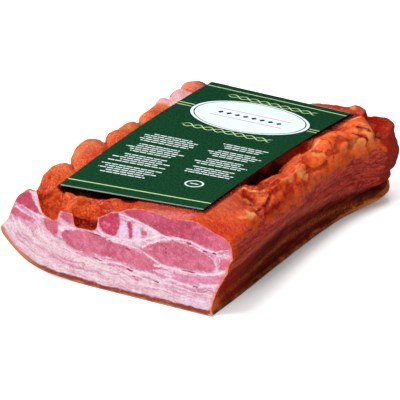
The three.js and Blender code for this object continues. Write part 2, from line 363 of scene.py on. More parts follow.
corners = [point for stretch, _ in STRIPS for point in stretch]
divisions = [count for stretch, count in STRIPS for _ in stretch]
section = curve_through(corners, divisions, closed=True)
section[:, 1] = np.maximum(section[:, 1], 0)
along = np.roll(section, -1, axis=0) - np.roll(section, 1, axis=0)
along /= np.linalg.norm(along, axis=1)[:, None]
section_out = np.stack([-along[:, 1], along[:, 0]], axis=1)
print("columns round the slab:", len(section))

# %% [markdown]
# The top of a belly slab carries the marks of the ribs that were cut out of it: soft pillows with
# sharp creases between them, plus hollows, flaps and lumps of fat. The pillows follow one rule
# that repeats, and the rest is a list of named rises, each along a short line.

# %% Ribs, hollows and lumps of the top
RIB_SPACING = 39.5
RIB_SLANT = 1.2
FIRST_RIB_CREASE = -24
PILLOW_LEAN = 1.05
STEEP_EDGE = 3
DOME_FALL = 0.3
PILLOW_AT_LEFT_EDGE = {"height": 7, "roundness": 0.7, "sunk": 0.2}
PILLOW_IN_MIDDLE = {"height": 2, "roundness": 0.9, "sunk": 0.7}
PILLOW_AT_RIGHT = {"height": 2.4, "roundness": 1, "sunk": 0.7}

# from, to, reach at both ends, rise at both ends, edge power
TOP_FEATURES = {
    "valley beside the tip": ((-46.5, -4), (-46.5, 6), (8.3, 9), (-10.5, -8), 4),
    "valley behind the tip": ((-50, 8), (-72, 18), (9, 9), (-6, -4), 1.6),
    "rib pocket": ((-20.5, -8), (-19.8, -4), (9.9, 9.9), (-8.5, -8.5), 14),
    "gap under the card's near edge": ((-44, 21), (-13, 24), (10, 9), (-7, -4.5), 2.2),
    "sag behind the cut": ((-38, 0), (-17, 0), (16, 16), (-8.5, -8), 2.4),
    "low lip behind the pocket": ((-26, 7), (-13, 7), (7, 7), (-6, -6), 2),
    "low front of the first lobe": ((-76, 34), (-74, 46), (15, 12), (-4.5, -2), 2),
    "high second lobe": ((-74, 78), (-74, 98), (18, 18), (2.2, 2.5), 2),
    "low third lobe": ((-72, 108), (-54, 120), (18, 18), (-3.5, -4), 2),
    "low fourth lobe": ((-68, 148), (-60, 158), (14, 14), (-3, -4.5), 2),
    "flat fat before the last lobe": ((-70, 174), (-56, 174), (10, 10), (1.8, 1.8), 4),
    "low side of the last lobe": ((-76, 192), (-68, 190), (9, 7), (-5, -2), 2),
    "low last lobe": ((-60, 188), (-56, 198), (12, 12), (-3, -3), 2),
    "hollow under the card": ((45, 74), (49, 100), (13, 12), (-11, -9), 2.5),
    "shade beside the card": ((52, 104), (51, 142), (9, 7), (-7, -4), 2),
    "crest beside the hollow": ((52, 58), (57, 66), (8, 8), (2, 1.2), 2),
    "low start of the strands": ((53, 84), (54, 96), (7, 6), (-2.5, -2), 2),
    "pale fat lump": ((73, 34), (75.5, 37), (5.5, 5.5), (3.2, 3.2), 2),
    "crack behind the pale lump": ((64, 58), (78, 46), (3, 3), (-2.5, -2.5), 1),
    "lump by the shoulder": ((68, 86), (68, 94), (7, 7), (2.5, 2.5), 2),
    "pale lump by the card": ((68, 106), (68, 112), (7, 7), (3, 3), 2),
    "middle lump": ((62, 138), (62, 146), (9, 9), (3, 3), 2),
    "large lump": ((61, 156), (64, 166), (13, 13), (4.5, 4.5), 2),
    "rib end": ((66, 184), (76, 178), (10, 10), (3, 3), 4),
    "red knob": ((77, 186), (80, 187), (4, 4), (3, 3), 2),
    "crease before the far lobe": ((61, 208), (80, 194), (6.5, 6.5), (-9, -8.5), 1.2),
    "dip before the far lobe": ((63, 218), (69, 211), (7, 7), (-5, -5), 2),
    "far right lobe": ((78, 214), (82, 206), (14, 14), (3, 3.5), 2),
    "far middle lobe": ((46, 214), (53, 212), (12, 12), (-1, 2), 2),
    "fall behind the card": ((-46, 224), (14, 224), (24, 24), (-6, -9), 2),
}

STRANDS = 5
STRAND_REACH = 1.9
STRAND_RISE = (1.2, 2.4)
STRAND_LINES = []
for number in range(STRANDS):
    near_end, far_end = (54 + 3.2 * number, 82 - number), (54.5 + 3 * number, 131 - 5 * number)
    STRAND_LINES.append((near_end, far_end))
    strand = (near_end, far_end, (STRAND_REACH, STRAND_REACH), STRAND_RISE, 2)
    TOP_FEATURES["strand %d" % number] = strand


def rib_phase(x, y):
    phase = (y + RIB_SLANT * x - FIRST_RIB_CREASE) / RIB_SPACING
    return phase - np.floor(phase)


def rib_pillow(x, y):
    to_left = smooth(-42, -68, x)
    to_right = smooth(20, 52, x)

    def quality(name):
        middle = PILLOW_IN_MIDDLE[name]
        left = to_left * (PILLOW_AT_LEFT_EDGE[name] - middle)
        return middle + left + to_right * (PILLOW_AT_RIGHT[name] - middle)

    across = rib_phase(x, y) ** PILLOW_LEAN
    dome = (4 * across * (1 - across)) ** quality("roundness")
    return quality("height") * (dome - quality("sunk")) * smooth(6, 36, y)


def nearness(x, y, start, end):
    """How far a place is from a short line, and how far along the line it lies."""
    run = np.array(end, float) - start
    place = np.clip(((x - start[0]) * run[0] + (y - start[1]) * run[1]) / (run @ run), 0, 1)
    return np.hypot(x - start[0] - place * run[0], y - start[1] - place * run[1]), place


def feature_rise(x, y, start, end, reach, rise, edge):
    distance, place = nearness(x, y, start, end)
    out = np.minimum(1, distance / mix(*reach, place))
    flatness = 1 if edge > STEEP_EDGE else 1 - out * DOME_FALL
    return mix(*rise, place) * (1 - out ** edge) * flatness


def top_relief(x, y):
    return rib_pillow(x, y) + sum(feature_rise(x, y, *feature) for feature in TOP_FEATURES.values())


print("named rises on the top:", len(TOP_FEATURES))

# %% [markdown]
# The side is drawn in along its middle, carries one long groove, and at the far right corner the
# rind stands away from the meat with a gap above it, which the material paints dark as shade. The
# far end closes in a blunt dome.

# %% The skin, ring by ring
WAIST_AT_RIND = 7
WAIST_AT_SHOULDER = 14
WAIST_RECOVERY = (0.9, 0.75)
GROOVE_DEPTH = 2
GROOVE_REACH = 5
GROOVE_HEIGHT = 36
GROOVE_FALL = 17
RIND_FLARE = 9
RIND_LIFT = 6
RIND_GAP_DEPTH = 4.5
RIND_GAP_HEIGHT = 8.5
RIND_GAP_REACH = 2.6
POCKET_MIDDLE = -19.8
POCKET_HALF_WIDTH = 9.9
POCKET_DRAW = 0.2
POCKET_DEPTH = 12
END_LENGTH = 38
END_BLUNTNESS = 3.1
END_CENTRE = (0, 24)
BODY_RINGS = 190
END_RINGS = 34
RINGS_CLOSER_AT_CUT = 1.22


def waist(y, z):
    recovery = mix(*WAIST_RECOVERY, smooth(25, 45, z))
    pull_in = smooth(-10, 150, y) * (1 - recovery * smooth(160, 216, y))
    return pull_in * mix(WAIST_AT_RIND, WAIST_AT_SHOULDER, smooth(0, 40, z))


def groove_height(y):
    return GROOVE_HEIGHT - GROOVE_FALL * smooth(40, 200, y)


def beside_pocket(x, y):
    """Draws the columns towards the rib pocket's steep walls."""
    out = np.abs(x - POCKET_MIDDLE) / POCKET_HALF_WIDTH
    drawn = mix(np.maximum(out, 1e-6) ** POCKET_DRAW, out, smooth(0, POCKET_DEPTH, y))
    moved = POCKET_MIDDLE + np.sign(x - POCKET_MIDDLE) * POCKET_HALF_WIDTH * drawn
    return np.where(out < 1, moved, x)


body_length = LENGTH - END_LENGTH
body_steps = np.arange(BODY_RINGS + 1) / BODY_RINGS
end_turn = np.arange(1, END_RINGS) / END_RINGS * math.pi / 2
ring_y = np.concatenate([
    body_length * body_steps ** RINGS_CLOSER_AT_CUT,
    body_length + END_LENGTH * np.sin(end_turn) ** (2 / END_BLUNTNESS),
])
ring_scale = np.concatenate([np.ones(BODY_RINGS + 1), np.cos(end_turn) ** (2 / END_BLUNTNESS)])

y = np.repeat(ring_y[:, None], len(section), axis=1)
column_x, column_z = section[None, :, 0], section[None, :, 1]
out_x, out_z = section_out[None, :, 0], section_out[None, :, 1]
topness = smooth(0.2, 0.75, out_z) + 0 * y
flankness = smooth(0.35, 0.8, out_x) + 0 * y

x = np.where(topness > 0, beside_pocket(column_x, y), column_x)
x = x - waist(y, column_z) * smooth(10, 64, column_x)
top_x, top_y = x.copy(), y.copy()
rise = top_relief(x, y) * topness
from_groove = np.abs(column_z - groove_height(y)) / GROOVE_REACH
rise = rise - GROOVE_DEPTH * flankness * np.maximum(0, 1 - from_groove ** 2)
rind_gap = bell(column_z - RIND_GAP_HEIGHT, RIND_GAP_REACH) * flankness * smooth(172, 196, y)
rise = rise - RIND_GAP_DEPTH * rind_gap
x = x + rise * out_x
z = column_z + rise * out_z
x = END_CENTRE[0] + (x - END_CENTRE[0]) * ring_scale[:, None]
z = END_CENTRE[1] + (z - END_CENTRE[1]) * ring_scale[:, None]
far_corner = smooth(175, 222, y) * smooth(20, 66, column_x)
x = x + RIND_FLARE * far_corner * smooth(62, 8, column_z)
z = z + RIND_LIFT * far_corner * smooth(24, 2, column_z)
slab_width = (slab_high[0] - slab_low[0]) / MM
x = ((x - x.min()) / (x.max() - x.min()) - 0.5) * slab_width
print("rings:", len(ring_y), "highest, mm:", round(float(z.max()), 1))

# %% [markdown]
# The card presses on the slab. Where it lies, the meat may not come through it, so every point
# under the card is held below the card's own gentle arch.

# %% The arch of the card, and the meat pressed under it
CARD_WIDTH = 102
CARD_LENGTH = 184
CARD_THICKNESS = 0.6
CARD_HEIGHT = 58.7
CARD_MIDDLE = (0.3, 111.4)
CARD_TURN = math.radians(0.78)
CARD_TIP_UP = 1.3
CARD_ARCH = 2.7
CARD_TWIST = 1.6
CARD_GAP = 0.5
CARD_MARGIN = 3
RISE_BEYOND_CARD = 0.3


def card_height(across, along_card):
    u = across / (CARD_WIDTH / 2)
    v = along_card / (CARD_LENGTH / 2)
    return CARD_HEIGHT + CARD_TIP_UP * u - CARD_ARCH * v ** 2 - CARD_TWIST * u * v


def on_card(x, y):
    dx, dy = x - CARD_MIDDLE[0], y - CARD_MIDDLE[1]
    return (dx * math.cos(CARD_TURN) + dy * math.sin(CARD_TURN),
            dy * math.cos(CARD_TURN) - dx * math.sin(CARD_TURN))


u, v = on_card(x, y)
beyond = np.maximum(np.abs(u) - CARD_WIDTH / 2, np.abs(v) - CARD_LENGTH / 2) - CARD_MARGIN
limit = card_height(u, v) - CARD_GAP + RISE_BEYOND_CARD * np.maximum(beyond, 0)
under_card = smooth(0, -6, beyond)
z = np.minimum(z, limit)
print("share of the skin under the card:", round(float((beyond < 0).mean()), 2))

# %% [markdown]
# The skin carries numbers at its points, which the materials read: where it is smoked dark, where
# fat shows pale, where it is cracked, and how lumpy or streaky its fine relief is. They also say
# where shade and highlights are painted: beside and under the card, in the hollows, cracks and the
# rib pocket, in the rind's gap and along a crest and the groove. They follow the slab's own places,
# so they stay put from every side.

# %% Where the skin is pale, cracked, dark or lumpy
# from, to, reach, strength
PALE_FAT_AND_CREST_HIGHLIGHT = [
    ((74.2, 34.4), (75.4, 35.6), 4.6, 1.15),
    ((74.4, 31), (72.6, 27), 1.2, 0.8),
    # a painted highlight: a pale line along the crest beside the hollow
    ((50.5, 57), (56, 59.4), 1.2, 1.5),
    ((56, 59.4), (60, 62), 1.2, 1.3),
    ((60, 62), (64.5, 72), 1.3, 1.2),
    ((67.2, 88), (67.6, 99), 2.6, 0.75),
    ((69.5, 105.5), (69.5, 111), 2.9, 0.9),
    ((63, 135), (64, 140), 4.2, 0.8),
    ((69, 164), (72, 166), 4, 0.5),
    ((69.5, 173), (76, 177.5), 5.2, 0.95),
    ((66.5, 181), (76, 186.5), 3.0, 0.95),
    ((64.5, 190.5), (73, 195), 3.2, 0.95),
    ((53, 195), (58, 201), 3.2, 1.5),
    ((71, 163), (71, 167), 4.5, 0.6),
    ((30, 220), (48, 214), 5, 0.7),
    ((-76, 172), (-50, 172), 11.5, 3.0),
    ((64, 50), (69, 60), 6, 0.5),
    ((56.5, 138), (57, 150), 1.3, 1.2),
]
# cracks and creases, sunk a little and painted dark as shade in them
SHADED_CRACKS = [
    ((79, 46), (71, 51), 1.1, 1.0),
    ((68, 50), (72, 50.5), 2.0, 1.0),
    ((72, 50.5), (74, 57), 1.8, 1.0),
    ((74, 57), (71, 66), 1.6, 0.9),
    ((71, 66), (68.5, 73), 1.3, 0.8),
    ((77, 49), (80, 58), 1.0, 0.7),
    ((65, 46), (68, 52), 0.9, 0.7),
    ((65, 176.5), (77, 184), 0.9, 1.0),
    ((63.5, 185.5), (77, 192), 0.9, 1.0),
    ((61, 208), (80, 194), 2.6, 1.0),
    ((-66, 187), (-52, 184), 2.2, 0.9),
    ((72, 98), (76, 120), 1.2, 0.5),
    ((68, 64), (76, 84), 3.5, 0.4),
    ((56, 152), (70, 148), 1.6, 0.6),
]
# painted shade: dark lines in the hollows beside and under the card's right edge and in the gap under
# its near edge
PAINTED_SHADE_LINES = [
    ((46, 74), (49, 100), 8.5, 1.0),
    ((49, 100), (49.5, 113), 5.2, 0.9),
    ((50, 153), (50.5, 168), 3.6, 0.8),
    ((51, 82), (53.5, 92), 4.5, 0.9),
    ((-38, 23), (-12, 25), 6.5, 1.0),
]
# painted shade inside the rib pocket, darker red than the meat
POCKET = [
    ((-23, -8), (-23, 2), 8, 1.0),
    ((-16, -8), (-16, 2), 8, 1.0),
]
WEDGE = [
    ((67, 1), (79, 22), 9, 1.0),
    ((76, 48), (76, 64), 7, 0.6),
]
# painted shade beside the left wall of the notch
WALL_SHADE_LINE = ((-54.6, -2), (-54.4, 7), 1.3, 0.25)
STRAND_ZONE = ((57.5, 84), (59, 124), 8.5, 1.0)
SALMON = ((24, 14), (60, 38), 19, 1.0)
PINK_EDGE = ((30, 0), (48, 5), 9, 1.0)
CREST_REACH = 1.7
MARK_CORE = 0.35
SMOKE_LIMIT = (51.5, 43.5)
GRANULES_ALONG = [0, 48, 92, 146, 181]
GRANULES_HEIGHT = [9, 12.5, 15, 10.6, 4.6]
CARD_SHADE = 0.9
CARD_SHADE_REACH = (3.4, 5.2)


def spots(x, y, marks, waver=0.0):
    """The strongest of several soft marks at each place. The waver makes their outlines uneven."""
    x, y = x + waver * np.sin(0.41 * y + 0.23 * x), y + waver * np.sin(0.37 * x - 0.29 * y)
    most = np.zeros_like(x)
    for start, end, reach, strength in marks:
        distance, _ = nearness(x, y, start, end)
        most = np.maximum(most, strength * smooth(reach, reach * MARK_CORE, distance))
    return most


def zone(*marks, waver=0.0):
    return spots(top_x, top_y, marks, waver)


wall_shade = zone(WALL_SHADE_LINE)
shoulder = smooth(-0.05, 0.5, out_z) + 0 * y
on_right = smooth(28, 46, y) * smooth(38, 54, top_x) * smooth(198, 188, y)
on_front = smooth(26, 10, y) * smooth(8, -6, top_x) * smooth(-62, -52, top_x)
phase = rib_phase(top_x, top_y)
rib_crease = smooth(0.08, 0.0, np.minimum(phase, 1 - phase))
# the creases between the left lobes, painted dark as shade together with the cracks
left_creases = 0.6 * rib_crease * smooth(6, 36, y) * smooth(156, 146, y) * smooth(-46, -60, top_x)
side_top = mix(*SMOKE_LIMIT, smooth(20, 165, y)) - 4.5 * smooth(40, 62, y) * smooth(125, 95, y)
side_top = side_top + 1.6 * np.sin(0.31 * y) + 1.1 * np.sin(0.83 * y)
granular_height = np.interp(y, GRANULES_ALONG, GRANULES_HEIGHT)
faces_down = smooth(-0.2, -0.5, out_z) * smooth(0.3, 0.0, out_x) * smooth(26, 22, column_z)
low_corner = smooth(14, 3, column_z)
high_corner = smooth(30, 50, column_z)
beyond_cut = smooth(2 * low_corner + high_corner, 7 + 9 * low_corner + 5 * high_corner, y)
# painted shade along the card's near and right edges, weaker where the card touches the meat
card_right = smooth(40, 50, u)
card_sides = np.maximum(smooth(-70, -90, v), card_right)
card_touches = smooth(112, 122, y) * smooth(154, 146, y) * card_right
card_shade = smooth(mix(*CARD_SHADE_REACH, card_right), 0.5, beyond + CARD_MARGIN)
card_shade = (CARD_SHADE - 0.55 * card_touches) * card_shade * card_sides
past_crease = 0.645 * (top_x - 65.3) + 0.764 * (y - 205.8)
past_crease = past_crease + 1.5 * np.sin(0.45 * top_x - 0.3 * column_z)
strand_zone = zone(STRAND_ZONE)
above_groove = column_z - groove_height(y) + 3
# all painted shade: beside the card's edges, in the hollows by the card and beside the notch's wall
painted_shade = np.maximum(np.maximum(zone(*PAINTED_SHADE_LINES) * smooth(0, 1, y), wall_shade), card_shade)
skin_marks = {
    "pale": zone(*PALE_FAT_AND_CREST_HIGHLIGHT, waver=0.9) * shoulder,
    "shaded_crack": np.maximum(zone(*SHADED_CRACKS, waver=0.25), left_creases) * shoulder,
    "smoked": flankness * smooth(side_top + 6, side_top - 8, column_z) * beyond_cut,
    "golden": flankness * low_corner * smooth(15, 5, y),
    "strands": strand_zone * topness,
    "strand_crest": zone(*[(*line, CREST_REACH, 1.0) for line in STRAND_LINES]) * topness,
    "salmon": zone(SALMON) * topness,
    "pink_edge": zone(PINK_EDGE, waver=0.9) * topness,
    "wedge": zone(*WEDGE, waver=0.9) * shoulder,
    "grainy": shoulder * (0.2 + 0.8 * smooth(40, 22, y) * smooth(12, -10, top_x)) * (1 - strand_zone),
    "front": on_front * smooth(0, 2, y),
    "bright": shoulder * smooth(70, 160, y) * smooth(47, 56, top_x) * smooth(206, 192, y),
    "side": flankness,
    # a painted highlight along the groove
    "groove_highlight": flankness * bell(above_groove, 1.1) * smooth(200, 150, y),
    "granular": flankness * bell(column_z - granular_height, 2.2) * smooth(200, 185, y),
    "low_side": flankness * smooth(1, -5, above_groove),
    "gap": rind_gap,
    "rind": np.maximum(faces_down, smooth(4.4, 2.4, column_z)) + 0 * y,
    "far_lobe": smooth(-2, 2, past_crease) * smooth(48, 60, top_x),
    "painted_shade": painted_shade * topness,
    "pocket": zone(*POCKET) * smooth(0, 1, y) * topness,
    "lumpy": shoulder * (0.4 + 0.6 * np.maximum(on_right, on_front)),
    "craggy": shoulder * np.maximum(on_right, 0.5 * on_front),
    "loose": smooth(0, 2.5, y) * smooth(-0.9, -0.4, out_z) * (1 - under_card),
}
flat_near_top = smooth(4, -6, y - 68 + 1.4 * np.maximum(top_x - 50, 0)) * smooth(8, 20, top_x)
smoother = np.maximum(0.85 * flat_near_top, 0.8 * strand_zone)
skin_marks["lumpy"] = skin_marks["lumpy"] * (1 - smoother)
skin_marks["craggy"] = skin_marks["craggy"] * (1 - np.maximum(flat_near_top, strand_zone))
print("marks on the skin:", ", ".join(skin_marks))

# %% [markdown]
# The cut face is flat, so its pattern is everything: muscles in two pinks, white seams between
# them, streaky fat and the brown line of the rind. Each muscle is a closed curve through a few
# points, in millimetres across and up. The mesh stores how far each of its points is from those
# curves, and the material turns that distance into an edge as crisp and as ragged as it likes.

# %% The pattern of the cut face
# outline, tone from 0 for pale to 1 for deep
MUSCLES = [
    ([(8, 57), (15, 60), (25, 62), (38, 60.5), (52, 61), (63, 61), (73, 57.5), (82, 54), (86, 48),
      (83, 45.5), (77, 44), (71.5, 44.5), (65.5, 45), (60, 45.5), (53, 46), (46, 46.5), (38, 46),
      (33.5, 47), (28, 49), (21, 50.5), (15, 52), (9.5, 53)], 0.68),
    ([(75, 38.5), (80, 40.7), (86, 39), (84, 34), (79, 32.6), (75, 32.4)], 0.55),
    ([(21, 33.7), (24.5, 36.6), (30, 39.5), (37, 41.8), (44, 43.5), (50, 44), (55.5, 43.5),
      (62, 41.8), (68, 39.8), (71.5, 36.5), (72.5, 31.3), (67, 28.8), (60, 28), (53, 27.5), (46, 27),
      (38, 26.4), (32.5, 27.8), (27, 30), (22, 32)], 0.32),
    ([(-37, 29.5), (-34, 33.5), (-25, 36), (-14, 36.4), (-8, 35.2), (-1.5, 33.5), (5, 33.3),
      (11.5, 32.5), (20.5, 31), (28, 27.8), (36, 25), (32, 22.5), (25, 20.3), (18.5, 19.8),
      (11.5, 21), (5, 21.8), (-2, 22.3), (-14, 22.5), (-23, 21.7), (-30.5, 23.5), (-34.5, 26)], 0.3),
    ([(-9.7, 48), (-4, 52), (3.5, 53.5), (5, 49.8), (5, 44), (2.5, 38.5), (-2.5, 37.5), (-8, 39.5),
      (-10, 43.5)], 1.0),
    ([(10.5, 48.8), (13.2, 49.5), (14.2, 45), (14, 39), (11.3, 38.4), (11.3, 43.5)], 0.85),
    ([(20.5, 45.5), (24, 45.6), (24, 42.5), (21, 42)], 0.3),
    ([(-64, 54.5), (-59, 53), (-57, 49.5), (-55.5, 46), (-53, 43), (-51, 40), (-57, 40.3),
      (-62, 41.3), (-68, 43.2), (-72, 45.5), (-70.5, 50)], 0.75),
    ([(-73.5, 40), (-69, 40.2), (-64, 38), (-58, 36), (-60, 34.5), (-66, 34.6), (-74, 36)], 0.3),
    ([(-50, 36), (-48, 38.5), (-44, 38.5), (-40, 38), (-39.5, 33.5), (-40, 30), (-43, 28.9),
      (-47.5, 31)], 0.35),
    ([(-38, 41.5), (-36, 45.5), (-32, 47.5), (-28.5, 46.5), (-27.5, 40.5), (-30, 39), (-34, 39.5)],
      0.45),
    ([(42, 23.4), (51, 23.8), (62, 25), (72.5, 27), (79, 29.8), (77, 25), (67, 21.8), (53, 19),
      (45, 20.8)], -0.5),
]
# line, width in the middle
WHITE_SEAMS = [
    ([(5, 53), (15, 51.8), (21, 50.5), (28, 48.5), (33.5, 46.5), (38, 45.5), (44, 46.3), (50, 46.3),
      (55.5, 46.2), (60, 45), (64, 44), (68.5, 43.2), (73, 43)], 1.0),
    ([(21, 34.5), (25, 38), (30, 40.5), (37, 43.8), (44, 46)], 0.8),
    ([(44, 45.3), (52.5, 44.3), (58.5, 43), (64, 41.5)], 0.7),
    ([(64, 41.5), (70, 39), (72.5, 36.5), (73.7, 32.5), (73, 30)], 0.3),
    ([(73, 42), (75.5, 40), (75.6, 36), (74.5, 33)], 0.4),
    ([(73, 43), (76, 44.5), (80.5, 46.3), (83.5, 46.5)], 0.7),
    ([(75, 41), (79.5, 43), (84, 42.5)], 0.9),
    ([(30, 24.5), (38, 25.7), (48.5, 25.7), (60, 26.2), (67, 27.2), (72.5, 28.8), (78.5, 31.5),
      (84, 33.5)], 1.4),
    ([(36, 16.5), (41.5, 18), (46.5, 17.3), (53, 16.8), (60, 17.2), (64.5, 19), (69, 20), (75, 22.2)],
      1.3),
    ([(11.5, 33.6), (17, 33), (21, 31.8), (27, 29.4), (32.5, 27.1), (38, 25.6)], 0.8),
    ([(-26, 37.8), (-19.5, 37), (-14, 36.8), (-8, 35.8), (-0.5, 34), (5, 34), (11.5, 33.6)], 0.8),
    ([(-10.5, 39.5), (-5, 37), (5, 36.8), (16, 38), (26.5, 42), (33.5, 45.5)], 1.2),
    ([(-70, 41.5), (-65, 39.4), (-59, 37.4), (-55.5, 36.6)], 0.7),
    ([(-66, 43.4), (-60, 41), (-54.5, 39.3), (-49.5, 38.8)], 0.6),
    ([(-22, 15.5), (-2, 13.8), (7.5, 13.4), (15, 11), (26, 10), (35.5, 10.3), (44, 9.5), (56, 8.5),
      (66, 8.5)], 1.0),
    ([(2, 17.5), (15, 15.6), (26.5, 13.5), (38, 14.7), (48, 14.3), (58.5, 13.3), (70, 14)], 0.8),
    ([(-35, 22), (-23, 18.5), (-9, 18), (1.5, 20), (10, 19), (19.5, 17.8), (30, 18.5)], 1.0),
]
BROWN_CRACKS = [
    ([(49, 26), (54, 26.2), (58.5, 26.3)], 0.7),
    ([(57, 17), (60.5, 17.2)], 0.7),
    ([(10, 31.4), (12.5, 30.8)], 0.9),
    ([(10.5, 18), (14, 17)], 0.8),
    ([(14, 14.2), (16, 13.6)], 0.6),
    ([(29, 14.5), (32.5, 14)], 0.8),
    ([(52.5, 45.2), (55, 44.6)], 0.8),
    ([(64, 42.3), (67, 41.9)], 0.8),
    ([(71, 42.4), (73, 42.1)], 0.7),
    ([(38, 38), (38, 37.3)], 0.7),
    ([(38, 35.4), (38, 34.8)], 0.7),
    ([(-16, 20.5), (-8, 19)], 0.5),
    ([(-19, 36.2), (-8, 35.2), (0, 33.3)], 0.4),
    ([(31, 40), (38, 42.6), (46, 44.3), (54, 43.7), (62, 41.4), (68.5, 38.6), (71.5, 35.5)], 0.1),
    ([(34, 46.6), (44, 46.1), (56, 45.5)], 0.1),
]
# middle, half its width and height
GRISTLE = [((7.9, 43.5), (2.5, 4.8)), ((17.4, 43), (2.8, 4.4))]
FAR_AWAY = 1e3
OUTLINE_STEPS = 5
CRACK_STEPS = 4
# line, reach, strength
BLUSH = [
    ((40, 11), (70, 15), 5.5, 1.0),
    ((44, 21), (74, 26), 4, 0.8),
    ((-66, 38), (-52, 36), 5.5, 1.2),
    ((-62, 31), (-50, 33), 5.5, 1.1),
    ((-68, 24), (-46, 15), 3.5, 0.6),
    ((-46, 15), (-26, 12), 3, 0.5),
    ((0, 16), (36, 18), 4, 0.6),
    ((76, 45), (80, 42), 4, 0.6),
]
MILK = [
    ((-34, 35), (-30, 36), 5.5, 1.0),
    ((24, 46), (32, 44.5), 4, 1.4),
    ((-78, 28), (-62, 28), 5, 0.9),
    ((-58, 22), (-36, 19), 3.5, 0.8),
    ((-54, 47), (-50, 41), 3, 0.9),
    ((-60, 53), (-56, 50), 2.5, 0.8),
    ((2, 40), (18, 40), 3, 0.6),
]


def distance_to(points, line):
    """From each point to a line of short straight pieces."""
    least = np.full(len(points), FAR_AWAY)
    for start, end in zip(line[:-1], line[1:]):
        run = end - start
        place = np.clip(((points - start) @ run) / max(run @ run, 1e-12), 0, 1)
        least = np.minimum(least, np.linalg.norm(points - start - place[:, None] * run, axis=1))
    return least


def inside(points, loop):
    """Whether each point lies inside a closed loop, by counting crossings to its right."""
    crossings = np.zeros(len(points), int)
    for (ax, az), (bx, bz) in zip(loop, np.roll(loop, -1, axis=0)):
        spans = (az > points[:, 1]) != (bz > points[:, 1])
        if az != bz:
            crossing_x = ax + (points[:, 1] - az) / (bz - az) * (bx - ax)
            crossings += spans & (points[:, 0] < crossing_x)
    return crossings % 2 == 1


def signed_distance(points, loop):
    closed = np.vstack([loop, loop[:1]])
    return distance_to(points, closed) * np.where(inside(points, loop), -1, 1)


def nearest(points, curves, steps):
    """How far each point is from the nearest edge of several lines, each with its width."""
    least = np.full(len(points), FAR_AWAY)
    for line, width in curves:
        away = distance_to(points, curve_through(line, steps, closed=False)) - width / 2
        least = np.minimum(least, away)
    return least


def cut_marks(points):
    """What the cut face's material reads at each of its points."""
    lean = np.full(len(points), FAR_AWAY)
    tone = np.zeros(len(points))
    for outline, depth in MUSCLES:
        away = signed_distance(points, curve_through(outline, OUTLINE_STEPS, closed=True))
        tone = np.where(away < lean, depth, tone)
        lean = np.minimum(lean, away)
    gristle = np.full(len(points), FAR_AWAY)
    for middle, halves in GRISTLE:
        shrunk = (points - middle) / halves
        gristle = np.minimum(gristle, (np.linalg.norm(shrunk, axis=1) - 1) * min(halves))
    across, up = points.T
    return {
        "lean": lean, "tone": tone, "gristle": gristle,
        "seam": nearest(points, WHITE_SEAMS, OUTLINE_STEPS),
        "brown": nearest(points, BROWN_CRACKS, CRACK_STEPS),
        "blush": spots(across, up, BLUSH) - spots(across, up, MILK)}


print("muscles:", len(MUSCLES), "seams:", len(WHITE_SEAMS))

# %% [markdown]
# The cut face needs points all over, not only round its edge, because the pattern lives on them.
# A fine triangular grid is laid over the outline and a Delaunay triangulation joins it to the
# skin's first ring, so skin and cut face share one closed mesh.

# %% The cut face and the whole mesh
GRID_STEP = 0.95
ROW_STEP = 0.87 * GRID_STEP
GRID_ROWS = 72
GRID_TO_RIM = 0.45 * GRID_STEP
rim = np.stack([x[0], z[0]], axis=1)
grid_x, grid_row = np.meshgrid(np.arange(-90, 90, GRID_STEP), np.arange(GRID_ROWS))
grid_x = grid_x + (grid_row % 2) * GRID_STEP / 2
grid = np.stack([grid_x, grid_row * ROW_STEP], axis=-1).reshape(-1, 2)
grid = grid[inside(grid, rim)]
grid = grid[distance_to(grid, np.vstack([rim, rim[:1]])) > GRID_TO_RIM]

flat_points = [Vector(point) for point in np.vstack([rim, grid])]
rim_edges = [(i, (i + 1) % len(rim)) for i in range(len(rim))]
_, _, cut_faces, came_from, _, _ = delaunay_2d_cdt(flat_points, rim_edges, [], 1, 1e-5)
skin_count = len(ring_y) * len(section) + 1
grid_start = skin_count - len(rim)
lookup = [origin[0] if origin[0] < len(rim) else grid_start + origin[0] for origin in came_from]
cut_faces = [[lookup[i] for i in face] for face in cut_faces]

skin_points = np.stack([x, y - LENGTH / 2, z], axis=-1).reshape(-1, 3)
far_tip = [[END_CENTRE[0], LENGTH / 2, END_CENTRE[1]]]
grid_points = np.stack([grid[:, 0], np.full(len(grid), -LENGTH / 2), grid[:, 1]], axis=1)
points = np.vstack([skin_points, far_tip, grid_points])

columns = len(section)
ring_starts = np.arange(len(ring_y) - 1)[:, None] * columns
first = (ring_starts + np.arange(columns)).ravel()
after = (ring_starts + (np.arange(columns) + 1) % columns).ravel()
skin_faces = np.stack([first, after, after + columns, first + columns], axis=1).tolist()
last_ring = (len(ring_y) - 1) * columns
skin_faces += [[last_ring + i, last_ring + (i + 1) % columns, skin_count - 1] for i in range(columns)]

slab_mesh = bpy.data.meshes.new("pancetta_slab")
slab_mesh.from_pydata(points * MM, [], skin_faces + cut_faces)
slab_mesh.validate()
slab = bpy.data.objects.new("pancetta_slab", slab_mesh)
bpy.context.scene.collection.objects.link(slab)
print("slab points:", len(points), "cut faces:", len(cut_faces))

# %% [markdown]
# The numbers go onto the mesh as attributes. The rim between skin and cut is marked sharp, so
# that smooth shading doesn't round the knife's edge, and each face learns its material.

# %% Marks and edges of the mesh
SMOKE_REACH = (1.0, 2.6)


def carry(mesh, name, values, kind="FLOAT", domain="POINT"):
    layer = mesh.attributes.new(name, kind, domain)
    layer.data.foreach_set("value", np.ascontiguousarray(values))


filler = np.zeros(1 + len(grid))
for name, values in skin_marks.items():
    carry(slab_mesh, name, np.concatenate([values.ravel(), filler]).astype(np.float32))

